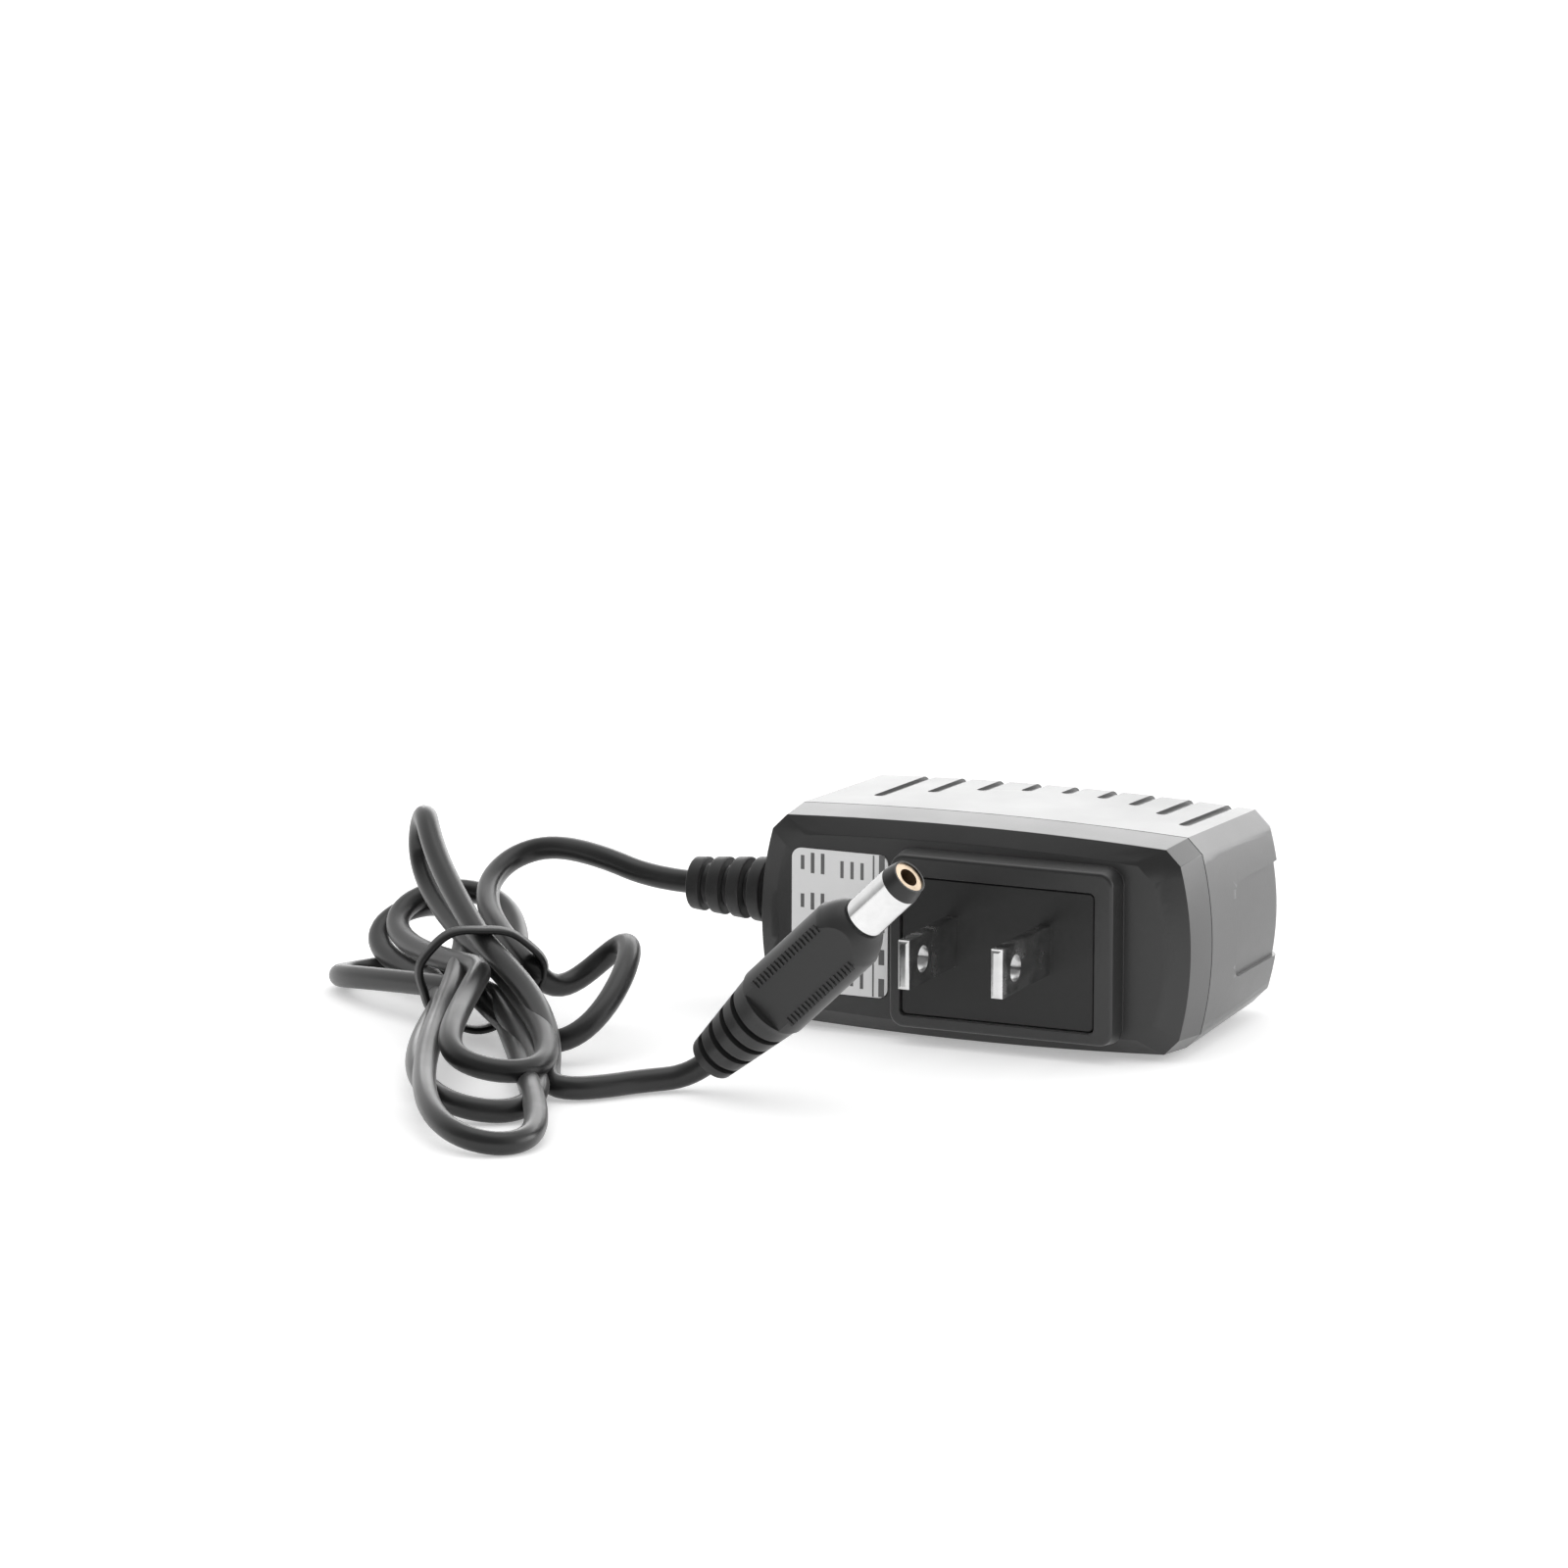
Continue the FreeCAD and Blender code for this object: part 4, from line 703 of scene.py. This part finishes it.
class ADAPTER_OT_plug(bpy.types.Operator):
    """Finishes the plug's grip and tip, the strain relief and the tie"""
    bl_idname = "adapter.plug"
    bl_label = "Finish Plug"

    def execute(self, context):
        grip = plastic("Plug Plastic", 0.014, 0.022, 0.42, 0.52, grain=2400.0, sheen=0.2, dust=0.03)
        tip = plastic("Plug Insulator", 0.010, 0.014, 0.30, 0.4)
        rubber = plastic("Relief Rubber", 0.010, 0.016, 0.42, 0.52, sheen=0.2)
        skin = plastic("Tie Skin", 0.006, 0.010, 0.35, 0.5)
        softened("plug_grip", grip, 0.00018)
        dress("plug_tip", tip)
        softened("strain_relief", rubber, 0.00035, 3)
        cord = context.scene.adapter_cord
        band = tie_mesh(skin, cord.tie_thickness, cord.tie_width)
        settle(band, ("twist_tie",))
        turn = Matrix.Rotation(PLUG_TURN, 4, "Z") @ Matrix.Rotation(-PLUG_RISE, 4, "Y")
        turn = Matrix.Translation(PLUG_END) @ turn @ Matrix.Rotation(PLUG_ROLL, 4, "X")
        for side, name in ((-1, "near"), (1, "far")):
            lie = Matrix.Translation((TICKS_PLACE, side * PLUG_FLAT, 0.0))
            lie = lie @ Matrix.Rotation(math.radians(90), 4, "X") @ Matrix.Rotation(math.radians(90), 4, "Z")
            ticks = rows_of_bars(f"plug_ticks_{name}", grip, turn @ lie, Columns=2, Rows=TICKS_ROWS,
                                 Length=2 * PLUG_FLAT_EDGE, Height=TICKS_REACH, Bar_Width=TICK_LENGTH,
                                 Shortest=TICK_WIDTH, Longest=TICK_WIDTH,
                                 Thickness=TICK_HEIGHT)
            settle(ticks)
        return {"FINISHED"}


class ADAPTER_OT_inside(bpy.types.Operator):
    """Finishes the circuit board and everything soldered to it"""
    bl_idname = "adapter.inside"
    bl_label = "Finish Inside"

    def execute(self, context):
        board = plastic("Board Laminate", 0.05, 0.08, 0.45, 0.6, grain=600.0)
        board.node_tree.nodes["Principled BSDF"].inputs["Coat Weight"].default_value = 0.4
        dark = plastic("Chip Plastic", 0.02, 0.03, 0.5, 0.6)
        ferrite = plastic("Ferrite", 0.05, 0.07, 0.6, 0.7)
        bobbin = plastic("Bobbin Plastic", 0.03, 0.04, 0.4, 0.5)
        tape = plastic("Winding Tape", 0.45, 0.55, 0.3, 0.45, warm=0.5)
        sleeve = plastic("Can Sleeve", 0.02, 0.03, 0.3, 0.4)
        disc = plastic("Disc Epoxy", 0.20, 0.26, 0.35, 0.45, warm=-0.6)
        case = plastic("Fuse Body", 0.10, 0.14, 0.35, 0.45, warm=0.5)
        wire = plastic("Wire Skin", 0.25, 0.35, 0.35, 0.45, warm=0.6)
        finishes = {
            "circuit_board": board, "transformer_core": ferrite, "transformer_bobbin": bobbin,
            "transformer_winding": tape, "bulk_capacitor": sleeve, "output_capacitors": sleeve,
            "filter_inductor": ferrite, "input_fuse": case, "bridge_rectifier": dark,
            "optocoupler": dark, "controller_chip": dark, "safety_capacitor": disc,
            "output_diode": dark, "output_wires": wire,
        }
        for node, material in finishes.items():
            dress(node, material)
        return {"FINISHED"}


def view_axes():
    """The photograph's right, up and forward directions, before its slight roll."""
    forward = Vector((-math.sin(VIEW_TURN) * math.cos(VIEW_HEIGHT),
                      math.cos(VIEW_TURN) * math.cos(VIEW_HEIGHT), -math.sin(VIEW_HEIGHT)))
    right = Vector((math.cos(VIEW_TURN), math.sin(VIEW_TURN), 0.0))
    return right, right.cross(forward), forward


def make_camera():
    right, up, forward = view_axes()
    place = RIM_POINT - right * VIEW_ASIDE + up * VIEW_DOWN - forward * VIEW_DISTANCE
    rolled_right = right * math.cos(VIEW_ROLL) + up * math.sin(VIEW_ROLL)
    rolled_up = up * math.cos(VIEW_ROLL) - right * math.sin(VIEW_ROLL)
    data = bpy.data.cameras.new("camera")
    data.lens = LENS
    data.sensor_width = SENSOR
    data.clip_start = 0.05
    data.clip_end = 20.0
    camera = bpy.data.objects.new("camera", data)
    bpy.context.scene.collection.objects.link(camera)
    turn = Matrix((rolled_right, rolled_up, -forward)).transposed()
    camera.matrix_world = Matrix.Translation(place) @ turn.to_4x4()
    bpy.context.scene.camera = camera


def area_lamp(name, place, target, size, strength):
    """A soft box of a given radiance that looks at a point."""
    data = bpy.data.lights.new(name, "AREA")
    data.shape = "RECTANGLE"
    data.size, data.size_y = size
    data.energy = strength * math.pi * size[0] * size[1]
    lamp = bpy.data.objects.new(name, data)
    bpy.context.scene.collection.objects.link(lamp)
    lamp.location = place
    lamp.rotation_euler = (Vector(target) - Vector(place)).to_track_quat("-Z", "Y").to_euler()
    return lamp


def make_floor(white):
    """A wide pale floor that is white to the camera where no shadow falls."""
    material = bpy.data.materials.new("Floor")
    material.use_nodes = True
    tree = material.node_tree
    shader = tree.nodes["Principled BSDF"]
    shader.inputs["Base Color"].default_value = rgb(white)
    shader.inputs["Roughness"].default_value = 0.9
    shader.inputs["Specular IOR Level"].default_value = 0.0
    path = tree.nodes.new("ShaderNodeLightPath")
    seen = math_node(tree, "MAXIMUM", path.outputs["Is Camera Ray"], path.outputs["Is Glossy Ray"])
    seen = math_node(tree, "MAXIMUM", seen, path.outputs["Is Transmission Ray"])
    glow = math_node(tree, "MULTIPLY", seen, 0.35)
    shader.inputs["Emission Color"].default_value = rgb(1.0)
    tree.links.new(glow, shader.inputs["Emission Strength"])
    half = 6.0
    floor = mesh_piece("floor", [(-half, -half, 0), (half, -half, 0), (half, half, 0), (-half, half, 0)],
                       [(0, 1, 2, 3)], material, smooth=False)


def make_world(stage):
    """White to the camera; a plain bright surround for the rest, with a dark card reflected in front."""
    world = bpy.data.worlds.new("Studio")
    bpy.context.scene.world = world
    world.use_nodes = True
    tree = world.node_tree
    background = tree.nodes["Background"]
    path = tree.nodes.new("ShaderNodeLightPath")
    coordinates = tree.nodes.new("ShaderNodeTexCoord")
    apart = tree.nodes.new("ShaderNodeSeparateXYZ")
    tree.links.new(coordinates.outputs["Generated"], apart.inputs["Vector"])

    def ramp(first, last, low, high):
        spread = tree.nodes.new("ShaderNodeMapRange")
        for name, value in (("From Min", first), ("From Max", last), ("To Min", low), ("To Max", high)):
            spread.inputs[name].default_value = value
        tree.links.new(apart.outputs["Y"], spread.inputs["Value"])
        return spread.outputs["Result"]

    def choose(flag, other, chosen):
        mix = tree.nodes.new("ShaderNodeMix")
        tree.links.new(path.outputs[flag], mix.inputs["Factor"])
        for name, value in (("A", other), ("B", chosen)):
            if isinstance(value, float):
                mix.inputs[name].default_value = value
            else:
                tree.links.new(value, mix.inputs[name])
        return mix.outputs["Result"]

    spread_light = ramp(-0.5, 0.5, stage.fill, stage.fill * 0.6)
    reflected = ramp(-0.55, 0.15, stage.front_card, stage.surround)
    strength = choose("Is Glossy Ray", spread_light, reflected)
    strength = choose("Is Camera Ray", strength, 1.0)
    background.inputs["Color"].default_value = rgb(1.0)
    tree.links.new(strength, background.inputs["Strength"])


class ADAPTER_OT_stage(bpy.types.Operator):
    """Sets the floor, the surround, the lamps and the camera"""
    bl_idname = "adapter.stage"
    bl_label = "Set Stage"

    def execute(self, context):
        stage = context.scene.adapter_stage
        scene = context.scene
        scene.view_settings.view_transform = "Standard"
        make_world(stage)
        make_floor(stage.floor_white)
        area_lamp("back_box", (0.1, 0.9, 0.30), (0, 0, 0.01), (1.8, 0.55), stage.back_light)
        area_lamp("right_box", (0.9, 0.5, 0.22), (0, 0, 0.01), (0.9, 0.5), stage.back_light * 0.8)
        area_lamp("top_box", (0.0, 0.1, 1.1), (0, 0, 0), (0.9, 0.9), 0.8)
        make_camera()
        return {"FINISHED"}


class ADAPTER_PT_panel(bpy.types.Panel):
    """Sizes, finishes and pieces of the adapter"""
    bl_idname = "ADAPTER_PT_panel"
    bl_label = "Adapter"
    bl_space_type = "VIEW_3D"
    bl_region_type = "UI"
    bl_category = "Adapter"

    def draw(self, context):
        scene = context.scene
        for settings in (scene.adapter_finish, scene.adapter_cord, scene.adapter_stage):
            box = self.layout.box()
            for name in settings.__annotations__:
                box.prop(settings, name)
        for operator in OPERATORS:
            self.layout.operator(operator.bl_idname)


SETTINGS = {"adapter_finish": AdapterFinish, "adapter_cord": AdapterCord, "adapter_stage": AdapterStage}
OPERATORS = (ADAPTER_OT_stage, ADAPTER_OT_housing, ADAPTER_OT_metalwork, ADAPTER_OT_label,
             ADAPTER_OT_plug, ADAPTER_OT_inside, ADAPTER_OT_cord)


def register():
    for name, settings in SETTINGS.items():
        bpy.utils.register_class(settings)
        setattr(bpy.types.Scene, name, bpy.props.PointerProperty(type=settings))
    for operator in OPERATORS:
        bpy.utils.register_class(operator)
    bpy.utils.register_class(ADAPTER_PT_panel)


def unregister():
    bpy.utils.unregister_class(ADAPTER_PT_panel)
    for operator in reversed(OPERATORS):
        bpy.utils.unregister_class(operator)
    for name, settings in SETTINGS.items():
        delattr(bpy.types.Scene, name)
        bpy.utils.unregister_class(settings)


def main():
    register()
    bpy.ops.adapter.stage()
    bpy.ops.adapter.housing()
    bpy.ops.adapter.metalwork()
    bpy.ops.adapter.label()
    bpy.ops.adapter.plug()
    bpy.ops.adapter.inside()
    bpy.ops.adapter.cord()


if __name__ == "__main__":
    main()
